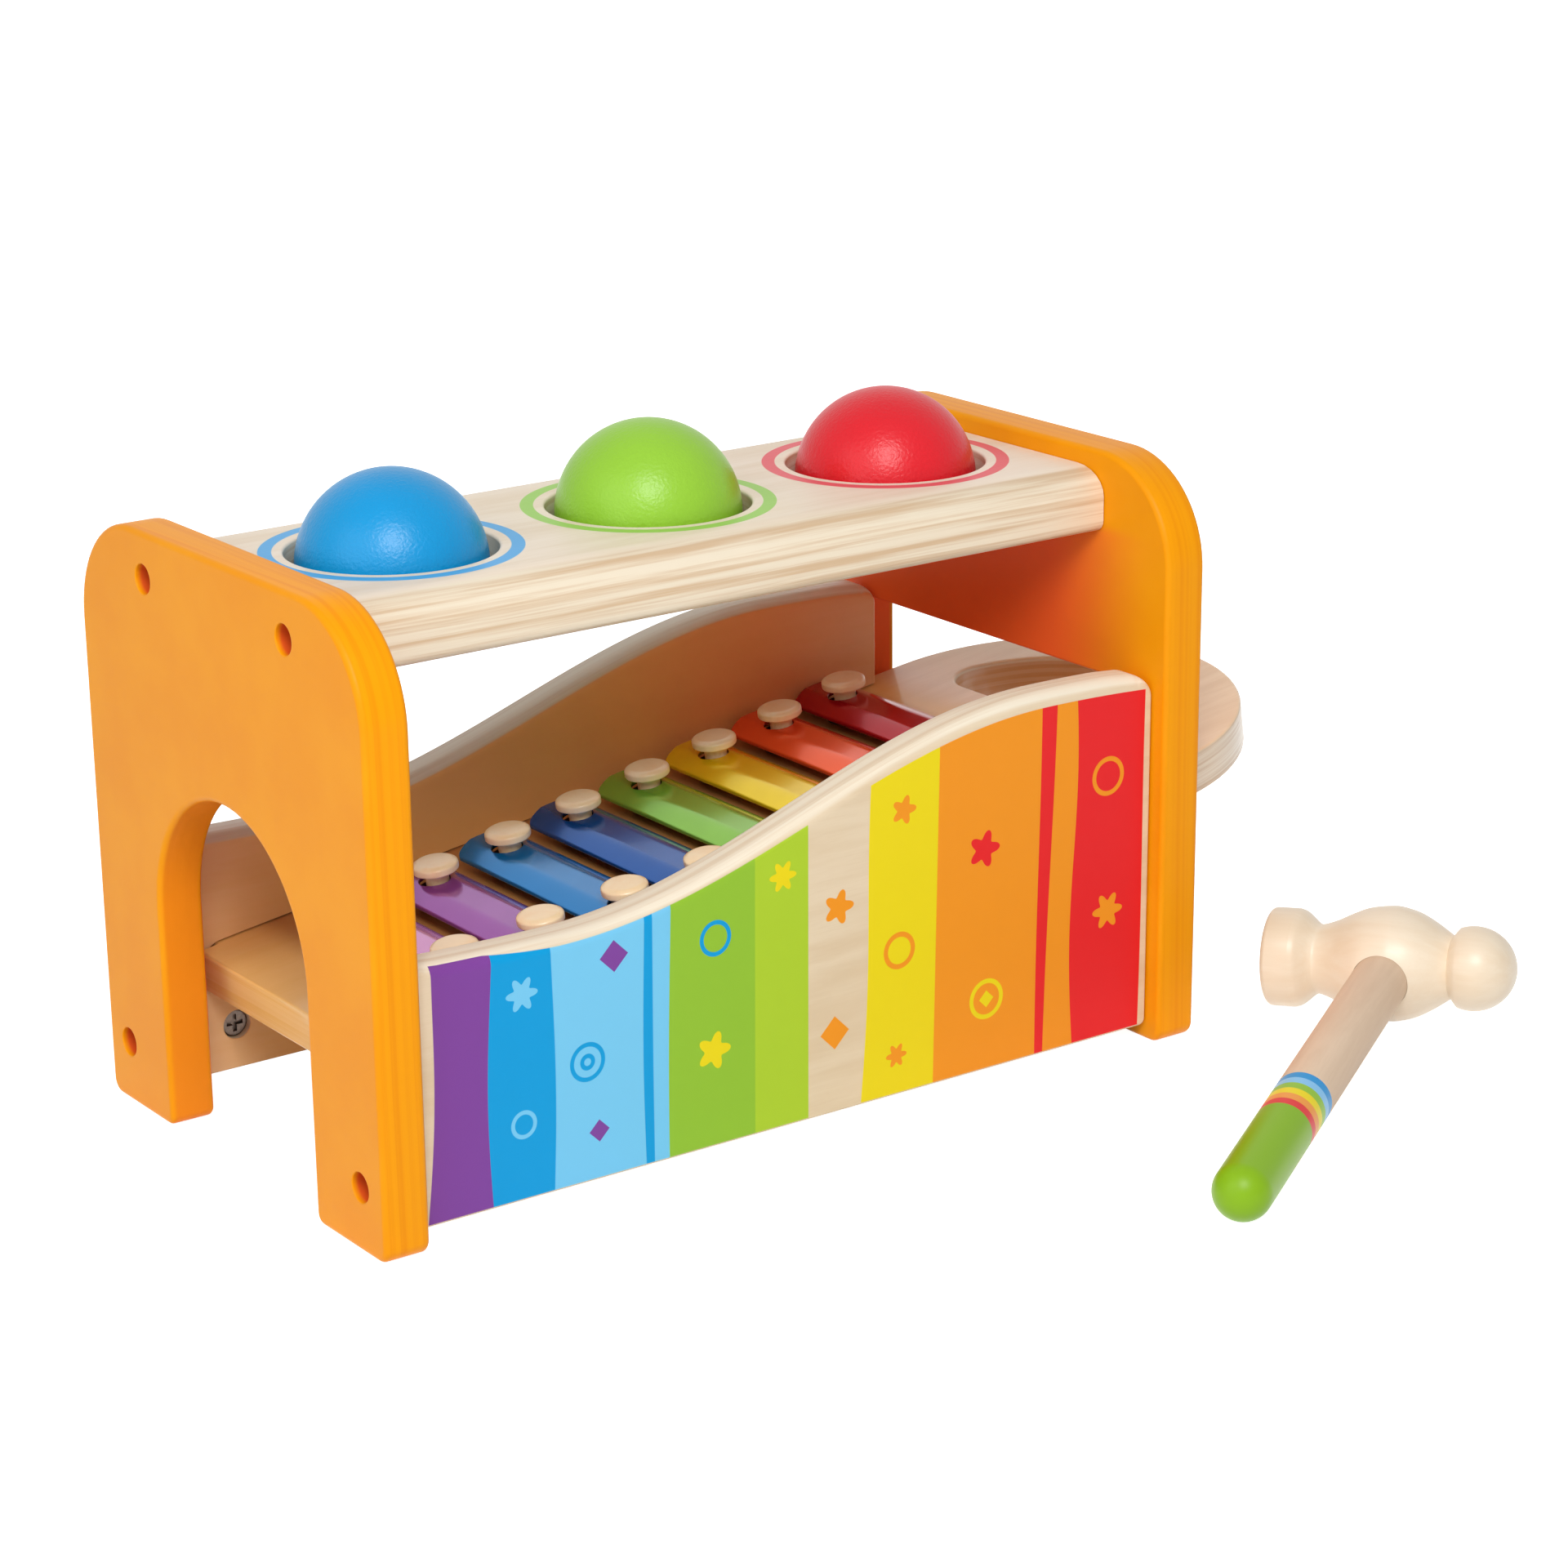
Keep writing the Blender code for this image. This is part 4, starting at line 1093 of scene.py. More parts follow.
# %% Stripes and marks on the front board
violet, blue, sky = srgb(126, 66, 154), srgb(0, 156, 218), srgb(120, 202, 240)
green, lime = srgb(146, 192, 50), srgb(174, 206, 46)
yellow, orange, red = srgb(238, 216, 16), srgb(243, 150, 28), srgb(232, 32, 36)
bare_wood = None
stripes = [
    # left edge at the foot, left edge at the top, bow, paint
    (15.1, 20.7, 1.1, violet),
    (33.85, 35.3, -1.1, blue),
    (51.75, 53.25, 0.7, sky),
    (79.25, 79.85, -0.5, blue),
    (81.75, 82.55, -0.1, sky),
    (86.25, 88.25, -0.3, green),
    (112.85, 113.95, 0.0, lime),
    (129.75, 130.45, 0.0, bare_wood),
    (146.65, 151.15, 0.75, yellow),
    (170.45, 172.45, 0.0, orange),
    (204.95, 206.25, -0.2, red),
    (207.75, 211.25, -0.2, orange),
    (218.05, 217.7, -1.25, red),
    (241.3, 242.0, 0.2, bare_wood),
]
marks = [
    # shape, place along and up, radius, width of a ring's line, lobes of a flower, paint
    ("Flower", 43.85, 58.75, 4.6, 0.0, 6.0, sky),
    ("Ring", 43.35, 24.75, 3.2, 1.1, 5.0, sky),
    ("Ring", 62.35, 36.75, 4.6, 1.2, 5.0, blue),
    ("Ring", 62.35, 36.75, 1.6, 1.2, 5.0, blue),
    ("Diamond", 70.85, 62.75, 4.2, 0.0, 5.0, violet),
    ("Diamond", 65.35, 17.75, 3.0, 0.0, 5.0, violet),
    ("Flower", 100.35, 30.75, 5.2, 0.0, 5.0, yellow),
    ("Ring", 101.35, 60.75, 4.2, 1.2, 5.0, blue),
    ("Flower", 122.35, 72.75, 4.2, 0.0, 6.0, yellow),
    ("Diamond", 138.35, 26.75, 4.6, 0.0, 5.0, orange),
    ("Flower", 139.85, 60.75, 4.8, 0.0, 5.0, orange),
    ("Flower", 160.85, 82.75, 4.0, 0.0, 5.0, orange),
    ("Ring", 159.35, 44.75, 4.4, 1.4, 5.0, orange),
    ("Flower", 158.35, 15.75, 3.4, 0.0, 6.0, orange),
    ("Ring", 188.35, 24.75, 5.0, 1.3, 5.0, yellow),
    ("Diamond", 188.35, 24.75, 2.4, 0.0, 5.0, yellow),
    ("Flower", 187.35, 66.75, 5.2, 0.0, 5.0, red),
    ("Ring", 229.35, 78.75, 4.8, 1.3, 5.0, orange),
    ("Flower", 229.85, 40.75, 5.2, 0.0, 6.0, orange),
]
print_wave = {"Low": 68.8, "High": 101.7, "Start": 55.55, "End": 208.1, "Left": 4.9, "Right": 1.3}
print_wrap = 1.4
side_wood = ((srgb(232, 212, 182), srgb(222, 198, 164)), (srgb(242, 231, 210), srgb(229, 210, 183)))
front_look, shader, wood_colour = plywood(
    "front_plywood", 1, -board_middle, board_half, 11.0, *side_wood, specular=0.2
)
place = own_place(shader)
x, y, z = split(place)
colour = wood_colour
for bottom, top, bow, paint in stripes:
    right = placed(stripe_effect, {"Place": place, "Bottom": bottom, "Top": top, "Bow": bow})["Right"]
    colour = mixed(right, colour, wood_colour if paint is bare_wood else paint)
for shape, across, up, radius, line, lobes, paint in marks:
    sizes = {"Centre A": across, "Centre B": up, "Radius": radius, "Line": line, "Lobes": lobes}
    colour = mixed(placed(mark_effect, {"A": x, "B": z, **sizes})[shape], colour, paint)
on_face = soft_step(y, print_wrap + 0.1 - board_outer, print_wrap - board_outer)
on_face = on_face * soft_step(z, board_foot + 0.5, board_foot + 0.7)
below = placed(wave_effect, {"Place": place, **print_wave})["Below"]
feed(shader, Base_Color=mixed(on_face * below, wood_colour, colour))
keep("front", side_boards["front"], bench, "bench", front_look, "front_board")
print("print:", len(stripes), "stripe edges and", len(marks), "marks")

# %% [markdown]
# The back board's inner face looks much warmer than the front one, because the orange panels and the ball
# run glow on to it. As with the panels' paint, a part of that bounced light is painted into the colour,
# weaker near both ends, where more daylight gets in.

# %% Painted bounce light on the back board's inner face
back_look, shader, colour = plywood("back_plywood", 1, board_middle, board_half, 29.0, *side_wood)
x, y, _ = split(own_place(shader))
# Painted bounce light: an orange warmth on the inner face, weaker near both ends.
painted_bounce_warmth = mixed(soft_step(x, 70.0, 235.0), srgb(255, 188, 100), srgb(255, 172, 96))
strength = soft_step(x, 10.0, 60.0) * 0.48 + 0.4 - soft_step(x, 200.0, 240.0) * 0.28
on_inner = soft_step(y, board_inner + 0.4, board_inner + 0.1)
feed(shader, Base_Color=mixed(on_inner * strength, colour, painted_bounce_warmth))
keep("back", side_boards["back"], bench, "bench", back_look, "back_board")
print("back board:", board_right - board_left, "mm long")

# %% [markdown]
# ## Balls and their rubber rings
#
# The balls are turned wood with a thick coat of paint. Each rests just under its widest place on a rubber
# ring that sits in a groove of the bore. A ball is a half circle spun about its axis, and a ring is a
# small circle spun about the bore's axis.

# %% Three balls in three rings
ball_radius = 24.5
ring_radius = 26.2
ring_section = 2.2
ball_paints = {"blue": srgb(0, 150, 214), "green": srgb(150, 204, 54), "red": srgb(226, 26, 40)}
half_turn = np.linspace(-np.pi / 2, np.pi / 2, 49)
half_circle = ball_radius * np.stack([np.cos(half_turn), np.sin(half_turn)], axis=1)
section = circle((ring_radius, 0.0), ring_section, 20)
ring_rubber = rubber("ring_rubber")
for name, spot, height, (colour, paint) in zip(ball_names, ball_spots, ball_heights, ball_paints.items()):
    points, faces = turned(half_circle, 96)
    mesh = solid_mesh(f"ball_{name}", [(points + (spot, 0.0, height), faces)], bench)
    look = ball_paint(f"{colour}_ball_paint", paint)
    keep(f"{colour}_ball", mesh, bench, f"ball_{name}", look, f"ball_{name}")
    points, faces = turned(section, 96, closed=True)
    mesh = solid_mesh(f"ring_{name}", [(points + (spot, 0.0, height - ring_below_ball), faces)], bench)
    keep(f"rubber_ring_{name}", mesh, bench, "bench", ring_rubber, f"ball_ring_{name}")
print("balls:", 2 * ball_radius, "mm across, at heights", [round(height, 1) for height in ball_heights])

# %% [markdown]
# ## The xylophone
#
# Eight bars lie at even steps along a sloping board, each a little longer than the one before it. Two
# pins hold each bar, at nearly the same distance from its ends. These places are worked out once, because
# the board's holes, the bars, the pins and the pads all have to agree on them.

# %% Places of the bars and pins
bar_count = 8
bar_shares = np.arange(bar_count) / (bar_count - 1)
first_pin = 34.8
pin_step = 24.6
pin_middles = first_pin + pin_step * np.arange(bar_count)
bar_left_of_pins = 0.8
bar_middles = pin_middles - bar_left_of_pins
longest_half = 54.4
half_growth = 17.2
bar_halves = longest_half - half_growth * (1 - bar_shares)
pin_from_end = 13.7 + 0.4 * bar_shares
pin_sides = bar_halves - pin_from_end
pin_spots = [(u, sign * side) for u, side in zip(pin_middles, pin_sides) for sign in (-1.0, 1.0)]
print("pins:", len(pin_spots), "and bars:", (2 * bar_halves).round(1).tolist(), "mm long")

# %% [markdown]
# ### The sliding board
#
# The bars stand on a plywood board that slides in the side boards' grooves. It is square at the left and
# half round at the right, where a D-shaped hole takes the fingers. Its left end is a little narrower,
# because the grooves end round. The right side of the hole follows the board's own curve.

# %% Sliding board with its finger hole
deck_length = 298.8
deck_half = 61.5
deck_end_length = 56.4
deck_end_middle = deck_length - deck_end_length
deck_edge = (1.0, 1.0)
notch_half = 54.5
notch_play = 0.4
notch = slide_start + slide_radius - math.sqrt(slide_radius**2 - (deck_thick / 2) ** 2) + notch_play
finger_corner = 10.0
finger_frame = 18.0
finger_start = 0.4
pin_hole_radius = 3.5
pin_hole_depth = 9.0
fine_edge = 0.1


def pressed(points):
    """Points of the round end, drawn as for a circle and then pressed along the board into an ellipse."""
    along = deck_end_middle + (points[:, 0] - deck_end_middle) * deck_end_length / deck_half
    return np.stack([along, points[:, 1]], axis=1)


def finger_hole():
    """A D: an arc like the board's end on the right, round corners, and a straight side on the left."""
    radius, across = deck_half - finger_frame, finger_start + finger_corner
    corner_side = math.sqrt((radius - finger_corner) ** 2 - across**2)
    meet = math.atan2(corner_side, across)
    big_arc = arc((deck_end_middle, 0.0), radius, -meet, meet)
    upper = arc((deck_end_middle + across, corner_side), finger_corner, meet, np.pi)
    lower = arc((deck_end_middle + across, -corner_side), finger_corner, np.pi, 2 * np.pi - meet)
    return pressed(no_repeats(np.vstack([big_arc, upper, lower])))


deck_outline = np.vstack(
    [
        [(0.0, -notch_half), (notch, -notch_half), (notch, -deck_half)],
        pressed(arc((deck_end_middle, 0.0), deck_half, -np.pi / 2, np.pi / 2)),
        [(notch, deck_half), (notch, notch_half), (0.0, notch_half)],
    ]
)
pin_hole_rows = blind_rows(0.0, -pin_hole_depth, fine_edge)
deck_shape = board(
    deck_outline,
    -deck_thick,
    0.0,
    deck_edge,
    deck_edge,
    holes=[(as_hole(finger_hole()), through_rows(-deck_thick, 0.0, deck_edge, deck_edge))],
    high_cups=[(as_hole(circle(spot, pin_hole_radius, 24)), pin_hole_rows) for spot in pin_spots],
)
print("sliding board:", deck_length, "mm long, notched by", round(notch, 2), "mm")

# %% [markdown]
# The layers of this board lie across the slope, so its material reads the depth in the board's own
# directions. Light and shade from its surroundings are painted into its colour: painted bounce light makes
# it warmer inside the bench than outside, and painted shade makes it darker between the bars and in the
# finger hole. Its varnish shines least where the bars shade it.

# %% Varnish and painted shade of the sliding board
deck_look, shader, colour = plywood(
    "deck_plywood",
    2,
    -deck_thick / 2,
    deck_thick / 2,
    53.0,
    (srgb(250, 214, 175), srgb(238, 197, 154)),
    (srgb(232, 215, 192), srgb(206, 174, 140)),
    1.4,
)
u, v, w = split(own_place(shader))
# Painted bounce light inside the bench, and painted shade between the bars and on the finger hole's wall.
inside = soft_step(u, 240.0, 226.0) * 0.75
shaded_under_bars = soft_step(u, 14.0, 26.0) * soft_step(u, 226.0, 216.0) * soft_step(w, -0.6, -0.1)
along = (u - deck_end_middle) * (deck_half / deck_end_length)
far_square, near_square = 2500.0, 2200.0
near_hole = soft_step(along * along + v * v, far_square, near_square) * soft_step(u, 238.0, 240.0)
shaded_hole_wall = near_hole * soft_step(w, -0.8, -1.6)
# Warmer where bounce light is painted, darker where shade is painted.
colour = mixed(inside, colour, srgb(238, 182, 84))
colour = mixed(shaded_hole_wall * 0.6, colour, srgb(204, 138, 74))
colour = mixed(shaded_under_bars * 0.65, colour, srgb(146, 74, 34))
feed(shader, Base_Color=colour, Coat_Weight=shaded_under_bars * -0.45 + 0.5)
shader.inputs["Coat Roughness"].default_value = 0.12
mesh = solid_mesh("deck", [deck_shape], xylophone)
keep("sliding_board", mesh, xylophone, "xylophone", deck_look, "xylophone_board")
print("sliding board:", len(mesh.polygons), "faces")

# %% [markdown]
# ## Metal bars
#
# Eight enamelled bars get longer towards the right. Each is sheet metal with round corners, whose long
# sides are folded down. It starts as a flat board with two holes, is sliced along its length so that it
# can bend, and is then lowered towards its sides by a smooth power of the distance past the flat middle.

# %% Slicing and folding
bar_half_width = 9.5
bar_flat = 3.6
bar_fall = 2.6
bar_fold_power = 1.35


def sliced(shell, cuts):
    """The same shell with an edge along every cut across X."""
    points, faces = shell
    mesh = bmesh.new()
    corners = [mesh.verts.new(point) for point in points]
    for face in faces:
        mesh.faces.new([corners[number] for number in face])
    for cut in cuts:
        everything = mesh.verts[:] + mesh.edges[:] + mesh.faces[:]
        bmesh.ops.bisect_plane(mesh, geom=everything, plane_co=(cut, 0.0, 0.0), plane_no=(1.0, 0.0, 0.0))
    mesh.verts.index_update()
    points = np.array([corner.co for corner in mesh.verts])
    faces = [[corner.index for corner in face.verts] for face in mesh.faces]
    mesh.free()
    return points, faces


def folded(points):
    """Lowers each point by the fall times (distance past the flat middle / folded width) ^ power."""
    past = np.clip(np.abs(points[:, 0]) - bar_flat, 0, None) / (bar_half_width - bar_flat)
    return points - np.stack([0 * past, 0 * past, bar_fall * past**bar_fold_power], axis=1)


print("a bar's long sides lie", bar_fall, "mm below its middle")

# %% [markdown]
# Only the length and the colour change from bar to bar, so one loop makes all eight. Each end bows out
# a little between its round corners, and the two holes are wider than the pins, so that the bar is free.

# %% Eight bars
bar_thick = 1.2
bar_top = 7.65
bar_low = bar_top - bar_thick
bar_hole_radius = 4.3
bar_end_bow = 1.8
bar_corner = 3.0
bar_end_radius = 20.0
bar_under_edge = (0.25, 0.25)
bar_upper_edge = (0.4, 0.4)
bar_hole_under = (0.2, 0.2)
bar_hole_upper = (0.3, 0.3)
bar_cuts = np.linspace(-9.0, 9.0, 21)
bar_colours = {
    "pink": srgb(222, 150, 208),
    "purple": srgb(158, 84, 170),
    "light_blue": srgb(0, 128, 200),
    "dark_blue": srgb(0, 86, 170),
    "green": srgb(142, 202, 74),
    "yellow": srgb(255, 220, 30),
    "orange": srgb(255, 98, 46),
    "red": srgb(184, 14, 34),
}
hole_rows = through_rows(bar_low, bar_top, bar_hole_under, bar_hole_upper)
for number, (name, colour) in enumerate(bar_colours.items()):
    half = float(bar_halves[number])
    side, corner = bar_half_width, half - bar_end_bow
    low_end = [(-side, -corner, bar_corner), (0.0, -half, bar_end_radius), (side, -corner, bar_corner)]
    bar_outline = rounded([*low_end, *((-a, -b, radius) for a, b, radius in low_end)])
    spots = [(0.0, sign * float(pin_sides[number])) for sign in (-1.0, 1.0)]
    holes = [(as_hole(circle(spot, bar_hole_radius, 40)), hole_rows) for spot in spots]
    flat_bar = board(bar_outline, bar_low, bar_top, bar_under_edge, bar_upper_edge, holes=holes)
    points, faces = sliced(flat_bar, bar_cuts)
    points = folded(points) + (float(bar_middles[number]), 0.0, 0.0)
    mesh = solid_mesh(f"bar_{name}", [(points, faces)], xylophone)
    node = f"bar_{number + 1}"
    keep(f"{name}_bar", mesh, xylophone, node, enamel(f"{name}_enamel", colour, 0.5), node)
print("bars:", len(bar_colours), "at a height of", bar_top, "mm over their board")

# %% [markdown]
# ## Pins and pads
#
# Each bar lies on two black pads and is held by two turned pins with flat round heads, which leave it
# free to ring. Pins and pads are turned profiles with softened corners.

# %% Sixteen pins and eight pads
pin_foot = -8.7
neck_radius = 3.2
head_radius = 6.3
head_low = bar_top + 2.3
head_high = head_low + 3.0
pin_profile = soft_corners(
    [
        (0.0, pin_foot),
        (neck_radius, pin_foot),
        (neck_radius, head_low),
        (head_radius, head_low + 0.1),
        (head_radius, head_high - 0.9),
        (head_radius - 1.3, head_high - 0.2),
        (0.0, head_high),
    ],
    0.5,
)
pad_inner, pad_outer = 3.5, 6.0
pad_low, pad_top = 0.3, 5.1
pad_corners = [(pad_inner, pad_low), (pad_outer, pad_low), (pad_outer, pad_top), (pad_inner, pad_top)]
pad_profile = soft_corners([*pad_corners, pad_corners[0]], 0.4)
strip_half, strip_thick, strip_from_pin, strip_edge = 2.0, 1.0, 4.0, (0.2, 0.2)
strip_signs = np.array([(-1, -1), (1, -1), (1, 1), (-1, 1)])
pin_wood, _, _ = lathe_wood("pin_wood", "ZXY", srgb(254, 230, 188), srgb(250, 217, 168), 0.3, 0.3)
pad_rubber = rubber("pad_rubber")
for number in range(bar_count):
    u, side = float(pin_middles[number]), float(pin_sides[number])
    pads = []
    for depth, sign in (("front", -1.0), ("back", 1.0)):
        points, faces = turned(pin_profile, 40)
        name = f"pin_{number + 1}_{depth}"
        mesh = solid_mesh(name, [(points + (u, sign * side, 0.0), faces)], xylophone)
        keep(f"wooden_{name}", mesh, xylophone, "xylophone", pin_wood, name)
        points, faces = turned(pad_profile, 32)
        pads.append((points + (u, sign * side, 0.0), faces))
    strip_outline = strip_signs * (strip_half, side - strip_from_pin) + (u, 0.0)
    strip = board(strip_outline, pad_low, pad_low + strip_thick, strip_edge, strip_edge)
    mesh = solid_mesh(f"pads_{number + 1}", [*pads, strip], xylophone)
    node = f"bar_pad_{number + 1}"
    keep(f"black_pads_{number + 1}", mesh, xylophone, "xylophone", pad_rubber, node)
print("pins:", 2 * bar_count, "with heads", 2 * head_radius, "mm across")

# %% [markdown]
# ## Bolts and barrel nuts
#
# The bolts stand deep in the panels, so only their round heads with a hexagon socket can be seen from
# straight outside. A head is a round board with a blind bore of six sides, and a shank is a turned rod.
# All eight share one shape, which is mirrored for the right panel.

# %% Eight bolts
bolt_head_radius = 3.6
bolt_shank_radius = 2.2
head_start = 5.0
head_end = 8.5
shank_end = 34.45
front_edge, back_edge = (0.6, 0.6), (0.1, 0.1)
hexagon_radius = 1.7
hexagon_deep = 2.0
bolt_zinc = zinc("bolt_zinc", srgb(176, 172, 166), srgb(128, 124, 120))
hexagon = circle((0.0, 0.0), hexagon_radius, 6)
bolt_head = board(
    circle((0.0, 0.0), bolt_head_radius),
    head_start,
    head_end,
    front_edge,
    back_edge,
    low_cups=[(as_hole(hexagon), blind_rows(head_start, head_start + hexagon_deep, fine_edge))],
)
bolt_shank = turned(rod(bolt_shank_radius, head_end, shank_end), 24)


def towards(side, shell, spot):
    """Carries a bolt, made along its own height, into a panel from its outer face."""
    points, faces = shell
    way, outer = (1.0, 0.0) if side == "left" else (-1.0, right_outer)
    across, up = spot
    return np.stack([outer + way * points[:, 2], across + points[:, 0], up + points[:, 1]], axis=1), faces


bolt_kinds = [("top_screw", "front"), ("top_screw", "back"), ("low_bolt", "front"), ("low_bolt", "back")]
for side in ("left", "right"):
    for (kind, depth), spot in zip(bolt_kinds, bolt_spots):
        node = f"{kind}_{side}_{depth}"
        mesh = solid_mesh(node, [towards(side, shell, spot) for shell in (bolt_head, bolt_shank)], bench)
        keep(f"steel_{node}", mesh, bench, "bench", bolt_zinc, node)
print("bolts:", 2 * len(bolt_spots), "reaching", shank_end, "mm in")

# %% [markdown]
# The barrel nuts show at the side boards' inner faces, each with a cross for a screwdriver that turns it
# until it meets its bolt. The cross is another blind bore, whose outline has twelve corners.

# %% Four barrel nuts
nut_radius = 3.75
nut_near = 56.4
nut_far = 65.4
nut_edge = (0.4, 0.4)
cross_half, cross_arm, cross_deep = 0.55, 2.4, 1.0
nut_zinc = zinc("nut_zinc", srgb(140, 126, 116), srgb(96, 86, 80))
upper_cross = [(cross_half, cross_half), (cross_half, cross_arm), (-cross_half, cross_arm)]
left_cross = [(-cross_half, cross_half), (-cross_arm, cross_half), (-cross_arm, -cross_half)]
half_cross = np.array(upper_cross + left_cross)
cross = np.vstack([half_cross, -half_cross])
nut = board(
    circle((0.0, 0.0), nut_radius),
    nut_near,
    nut_far,
    nut_edge,
    nut_edge,
    low_cups=[(as_hole(cross), blind_rows(nut_near, nut_near + cross_deep, fine_edge))],
)
for side, (along, up) in zip(("left", "right"), nut_spots):
    for depth, sign in (("front", -1.0), ("back", 1.0)):
        points, faces = nut
        moved_points = np.stack([along + points[:, 0], sign * points[:, 2], up + points[:, 1]], axis=1)
        node = f"barrel_nut_{side}_{depth}"
        mesh = solid_mesh(node, [(moved_points, faces)], bench)
        keep(f"steel_{node}", mesh, bench, "bench", nut_zinc, node)
print("nuts:", 2 * len(nut_spots), "of", 2 * nut_radius, "mm across")

# %% [markdown]
# ## Mallet
#
# The mallet's head is turned from pale wood: a flat face, a waist, a belly and a round knob. Its profile
# is a smooth curve through a few radii. The handle goes into the belly, and a Boolean bores the socket
# for it, because a bore across a turned piece has no flat face to start from.

# %% Head
knob_radius = 11.74
knob_reach = 22.8
knob_start = 19.0
face_corner = 1.5
neck_and_belly = [
    # radius, place along the head
    (13.80, -26.5),
    (13.20, -24.8),
    (11.90, -23.1),
    (10.20, -21.1),
    (9.80, -19.5),
    (11.20, -15.4),
    (13.40, -10.9),
    (15.20, -6.3),
    (16.00, -0.5),
    (15.80, 2.8),
    (14.50, 7.4),
    (12.00, 12.1),
    (8.70, 17.0),
]


def smooth_through(points, steps=5):
    """A curve through every point, whose slope at each is set by its two neighbours (Catmull-Rom)."""
    ends = np.vstack([2 * points[0] - points[1], points, 2 * points[-1] - points[-2]])
    t = np.linspace(0, 1, steps, endpoint=False)[None, :, None]
    a, b, c, d = (ends[start : len(ends) - 3 + start, None] for start in range(4))
    curve = b + t * (c - a) / 2 + t**2 * (a - 2.5 * b + 2 * c - d / 2)
    curve = curve + t**3 * (1.5 * b - 1.5 * c + (d - a) / 2)
    return np.vstack([curve.reshape(-1, 2), points[-1:]])


face_rim = arc((face_radius - face_corner, face_corner - face_reach), face_corner, -np.pi / 2, 0)
knob_turn = -math.asin((knob_reach - knob_start) / knob_radius)
knob = arc((0.0, knob_reach), knob_radius, knob_turn, np.pi / 2)
knob[-1, 0] = 0.0
curve = smooth_through(np.array(neck_and_belly))
points, faces = turned(np.vstack([[(0.0, -face_reach)], face_rim, curve, knob]), 96)
head_mesh = solid_mesh("head", [(points[:, [2, 0, 1]], faces)], mallet)
socket_radius, socket_start, socket_end = 7.8, 3.0, 18.0
points, faces = turned(rod(socket_radius, socket_start, socket_end), 64)
socket = solid_mesh("socket", [(points[:, [0, 2, 1]] * (1.0, -1.0, 1.0), faces)], mallet)
head_mesh = cut_away(head_mesh, [socket])
head_wood, _, _ = lathe_wood("mallet_head_wood", "XYZ", srgb(242, 226, 202), srgb(236, 215, 186), 0.42, 0.2)
keep("pale_mallet_head", head_mesh, mallet, "mallet", head_wood, "mallet_head")
print("mallet head:", face_reach + knob_reach + knob_radius, "mm long")

# %% [markdown]
# The handle is a plain rod with a round end. It was dipped or sprayed in bands, so each band starts at a
# sharp line across the rod, and the last one covers the whole grip. The paint is smoother than the wood.

# %% Handle with painted rings
handle_start = 3.3
bands_start = 93.5
band_width = 3.23
band_colours = [
    srgb(36, 148, 214),
    srgb(138, 198, 240),
    green,
    yellow,
    srgb(240, 156, 66),
    srgb(224, 52, 54),
    srgb(133, 178, 22),
]
dome = arc((0.0, handle_reach), handle_radius, 0, np.pi / 2)
dome[-1, 0] = 0.0
points, faces = turned(np.vstack([[(0.0, handle_start), (handle_radius, handle_start)], dome]), 64)
handle_mesh = solid_mesh("handle", [(points[:, [0, 2, 1]] * (1.0, -1.0, 1.0), faces)], mallet)
handle_wood, shader, colour = lathe_wood(
    "mallet_handle_wood", "YXZ", srgb(232, 206, 179), srgb(219, 190, 162), 0.6, 0.0
)
shader.inputs["Specular IOR Level"].default_value = 0.25
reach = split(own_place(shader))[1] * -1.0
for number, paint in enumerate(band_colours):
    start = bands_start + band_width * number
    colour = mixed(soft_step(reach, start - print_edge, start + print_edge), colour, paint)
painted = soft_step(reach, bands_start - 0.1, bands_start + 0.1)
feed(shader, Base_Color=colour, Roughness=painted * -0.22 + 0.6)
keep("rod_handle", handle_mesh, mallet, "mallet", handle_wood, "mallet_handle")
print("mallet handle:", len(band_colours), "bands, to", handle_reach + handle_radius, "mm")

# %% [markdown]
# ## Floor and light
#
# The toy stands on a plain white floor in soft studio light. A big soft lamp above the camera gives the
# balls their highlight, and a weak white surround, a lamp behind and a lamp at the left lift the shadows.
# The background is white because the surround and the floor look white to the camera, and not because
# more light falls on the toy.

# %% Stage
def seen_directly(tree):
    """1 for a ray from the camera, or one that a glossy or a clear surface sends on."""
    rays = tree.nodes.new("ShaderNodeLightPath").outputs
    sent_on = Value(rays["Is Glossy Ray"]) + Value(rays["Is Transmission Ray"])
    return calc("ADD", Value(rays["Is Camera Ray"]), sent_on, clamp=True)


def make_floor(half, glow):
    """A wide pale floor that shows soft shadows."""
    mesh = bpy.data.meshes.new("floor")
    corners = [(-half, -half, 0.0), (half, -half, 0.0), (half, half, 0.0), (-half, half, 0.0)]
    mesh.from_pydata(corners, [], [(0, 1, 2, 3)])
    floor = bpy.data.objects.new("floor", mesh)
    bpy.context.scene.collection.objects.link(floor)
    look, shader = material("pale_floor", Base_Color=(0.9, 0.9, 0.9, 1.0), Roughness=0.9)
    shader.inputs["Specular IOR Level"].default_value = 0.0
    shader.inputs["Emission Color"].default_value = (1.0, 1.0, 1.0, 1.0)
    feed(shader, Emission_Strength=seen_directly(shader.id_data) * glow)
    mesh.materials.append(look)


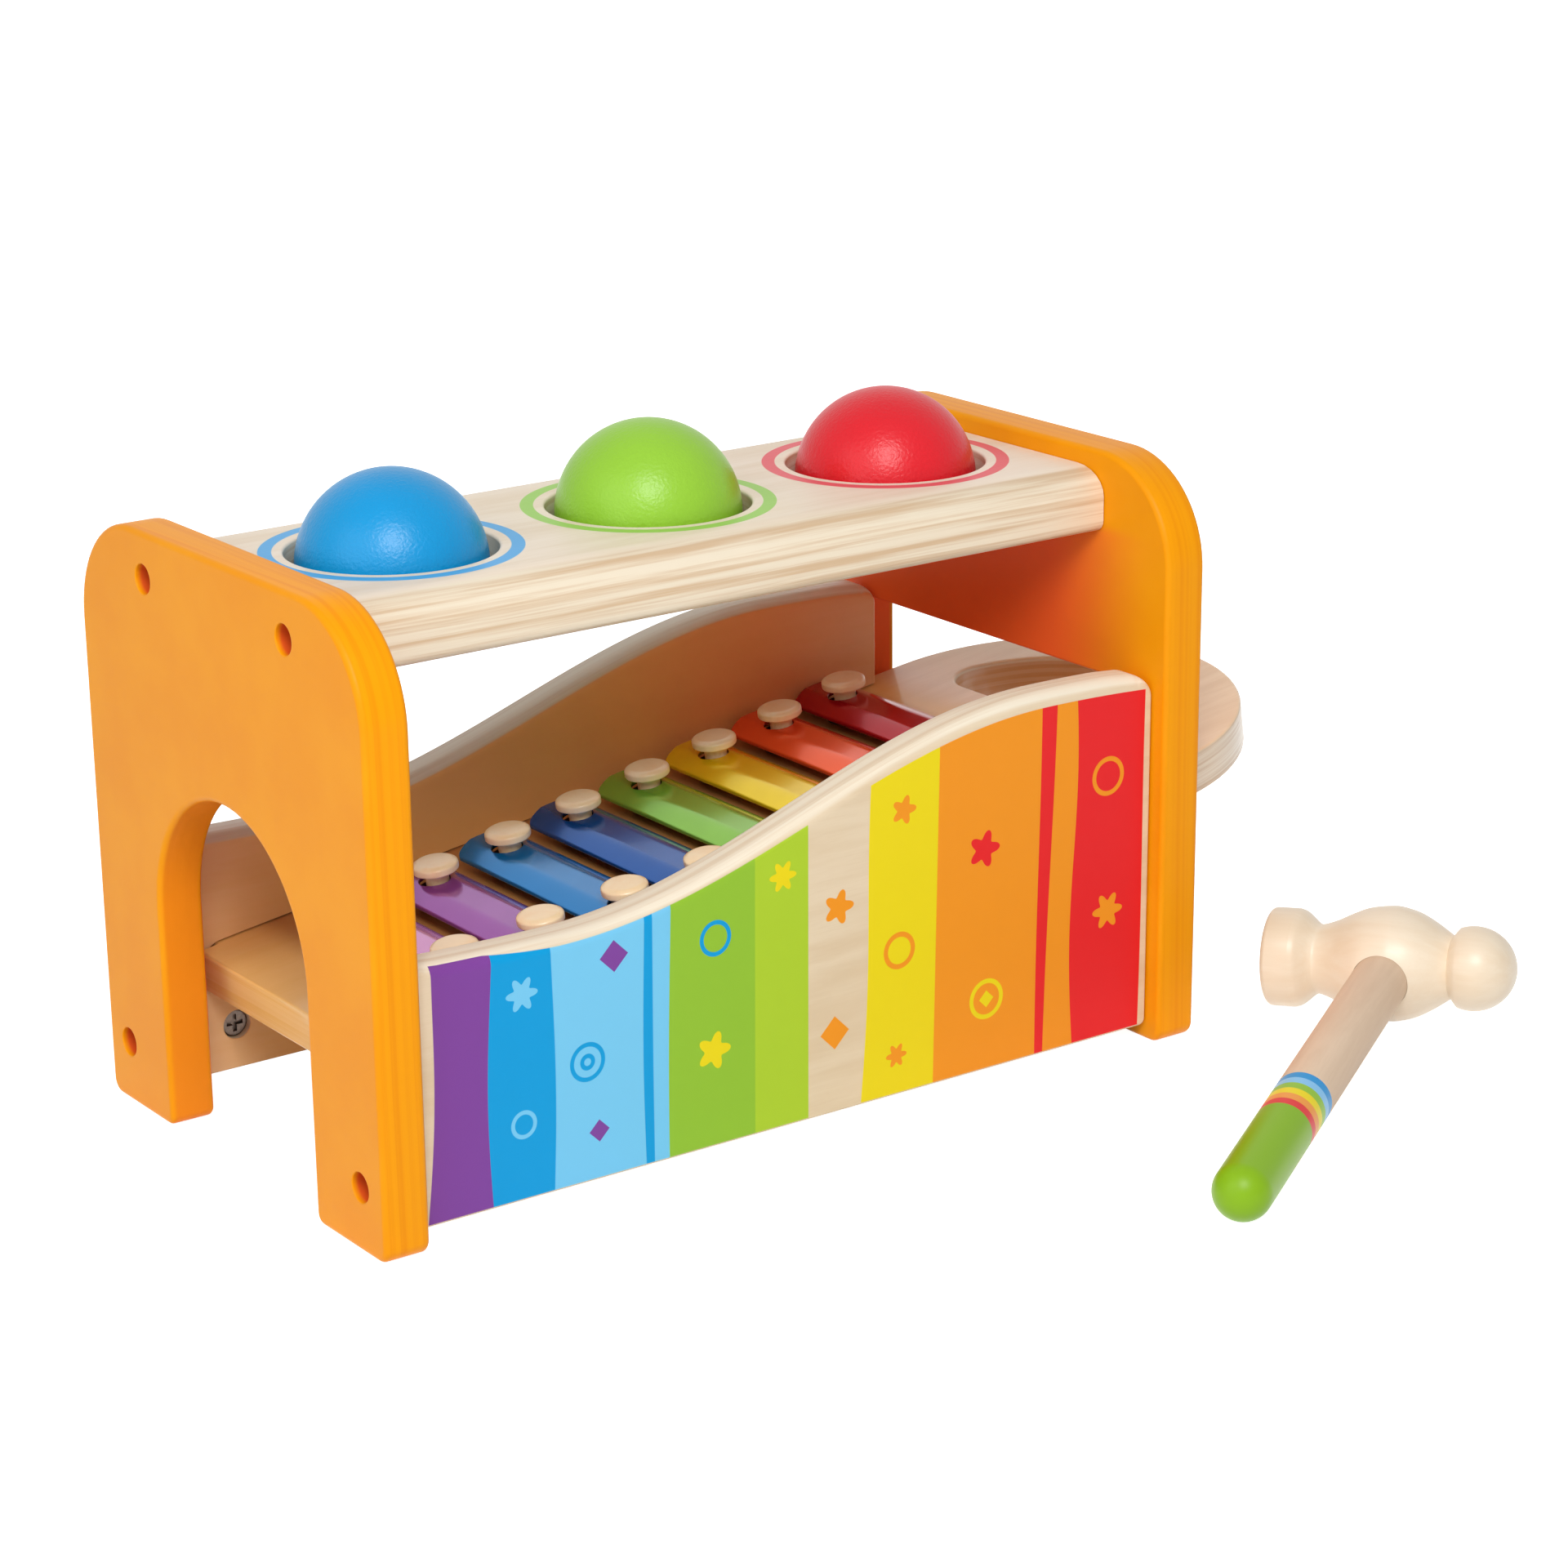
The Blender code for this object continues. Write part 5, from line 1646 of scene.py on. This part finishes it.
def make_surround(strength):
    """An even white surround that always looks white to the camera and in reflections."""
    world = bpy.data.worlds.new("surround")
    bpy.context.scene.world = world
    world.use_nodes = True
    background = world.node_tree.nodes["Background"]
    background.inputs[0].default_value = (1.0, 1.0, 1.0, 1.0)
    level = seen_directly(world.node_tree) * (1.0 - strength) + strength
    world.node_tree.links.new(level.socket, background.inputs[1])


def make_lamp(name, spot, size, power, mirrored=True):
    """A square soft lamp that shines at the toy, and that gloss mirrors or doesn't."""
    light = bpy.data.lights.new(name, "AREA")
    light.shape, light.size, light.energy = "SQUARE", size, power
    lamp = bpy.data.objects.new(name, light)
    lamp.location = spot
    lamp.rotation_euler = (Vector(toy_middle) - Vector(spot)).to_track_quat("-Z", "Y").to_euler()
    lamp.visible_glossy = mirrored
    bpy.context.scene.collection.objects.link(lamp)


toy_middle = (0.0, 0.0, 0.08)
make_floor(3.0, 0.92)
make_surround(0.25)
make_lamp("key", (-0.58, -0.86, 1.05), 0.6, 14.2)
make_lamp("back", (0.8, 1.2, 0.55), 1.6, 6.0, mirrored=False)
make_lamp("left", (-1.3, -0.2, 0.7), 1.2, 5.5)
print("lamps:", [light.name for light in bpy.data.lights])

# %% [markdown]
# ## Camera
#
# The camera looks down on the bench from the left and the front. It stands about a metre away with a long
# lens, so that the far end looks hardly smaller than the near one. Its place and turn come from fitting the
# bench's straight edges and circles. The lens is shifted, which moves the picture without turning it.

# %% Camera
camera_spot = np.array([-428.520, -831.466, 395.062])
camera_turn = [math.radians(angle) for angle in (71.3148, 1.01075, -34.49796)]
lens = bpy.data.cameras.new("camera")
lens.lens, lens.sensor_width = 90.60, 36.0
lens.shift_x, lens.shift_y = 0.06804, 0.05112
camera = bpy.data.objects.new("camera", lens)
camera.location = to_world(camera_spot, bench)
camera.rotation_euler = camera_turn
bpy.context.scene.collection.objects.link(camera)
bpy.context.scene.camera = camera
bpy.context.scene.view_settings.view_transform = "Standard"
print("camera:", [round(part, 3) for part in camera.location], "lens", round(lens.lens, 1), "mm")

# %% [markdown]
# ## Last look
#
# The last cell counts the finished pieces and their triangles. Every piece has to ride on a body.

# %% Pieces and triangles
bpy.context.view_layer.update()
triangles = sum(len(polygon.vertices) - 2 for piece in made_pieces for polygon in piece.data.polygons)
print("pieces:", len(made_pieces), "triangles:", triangles)
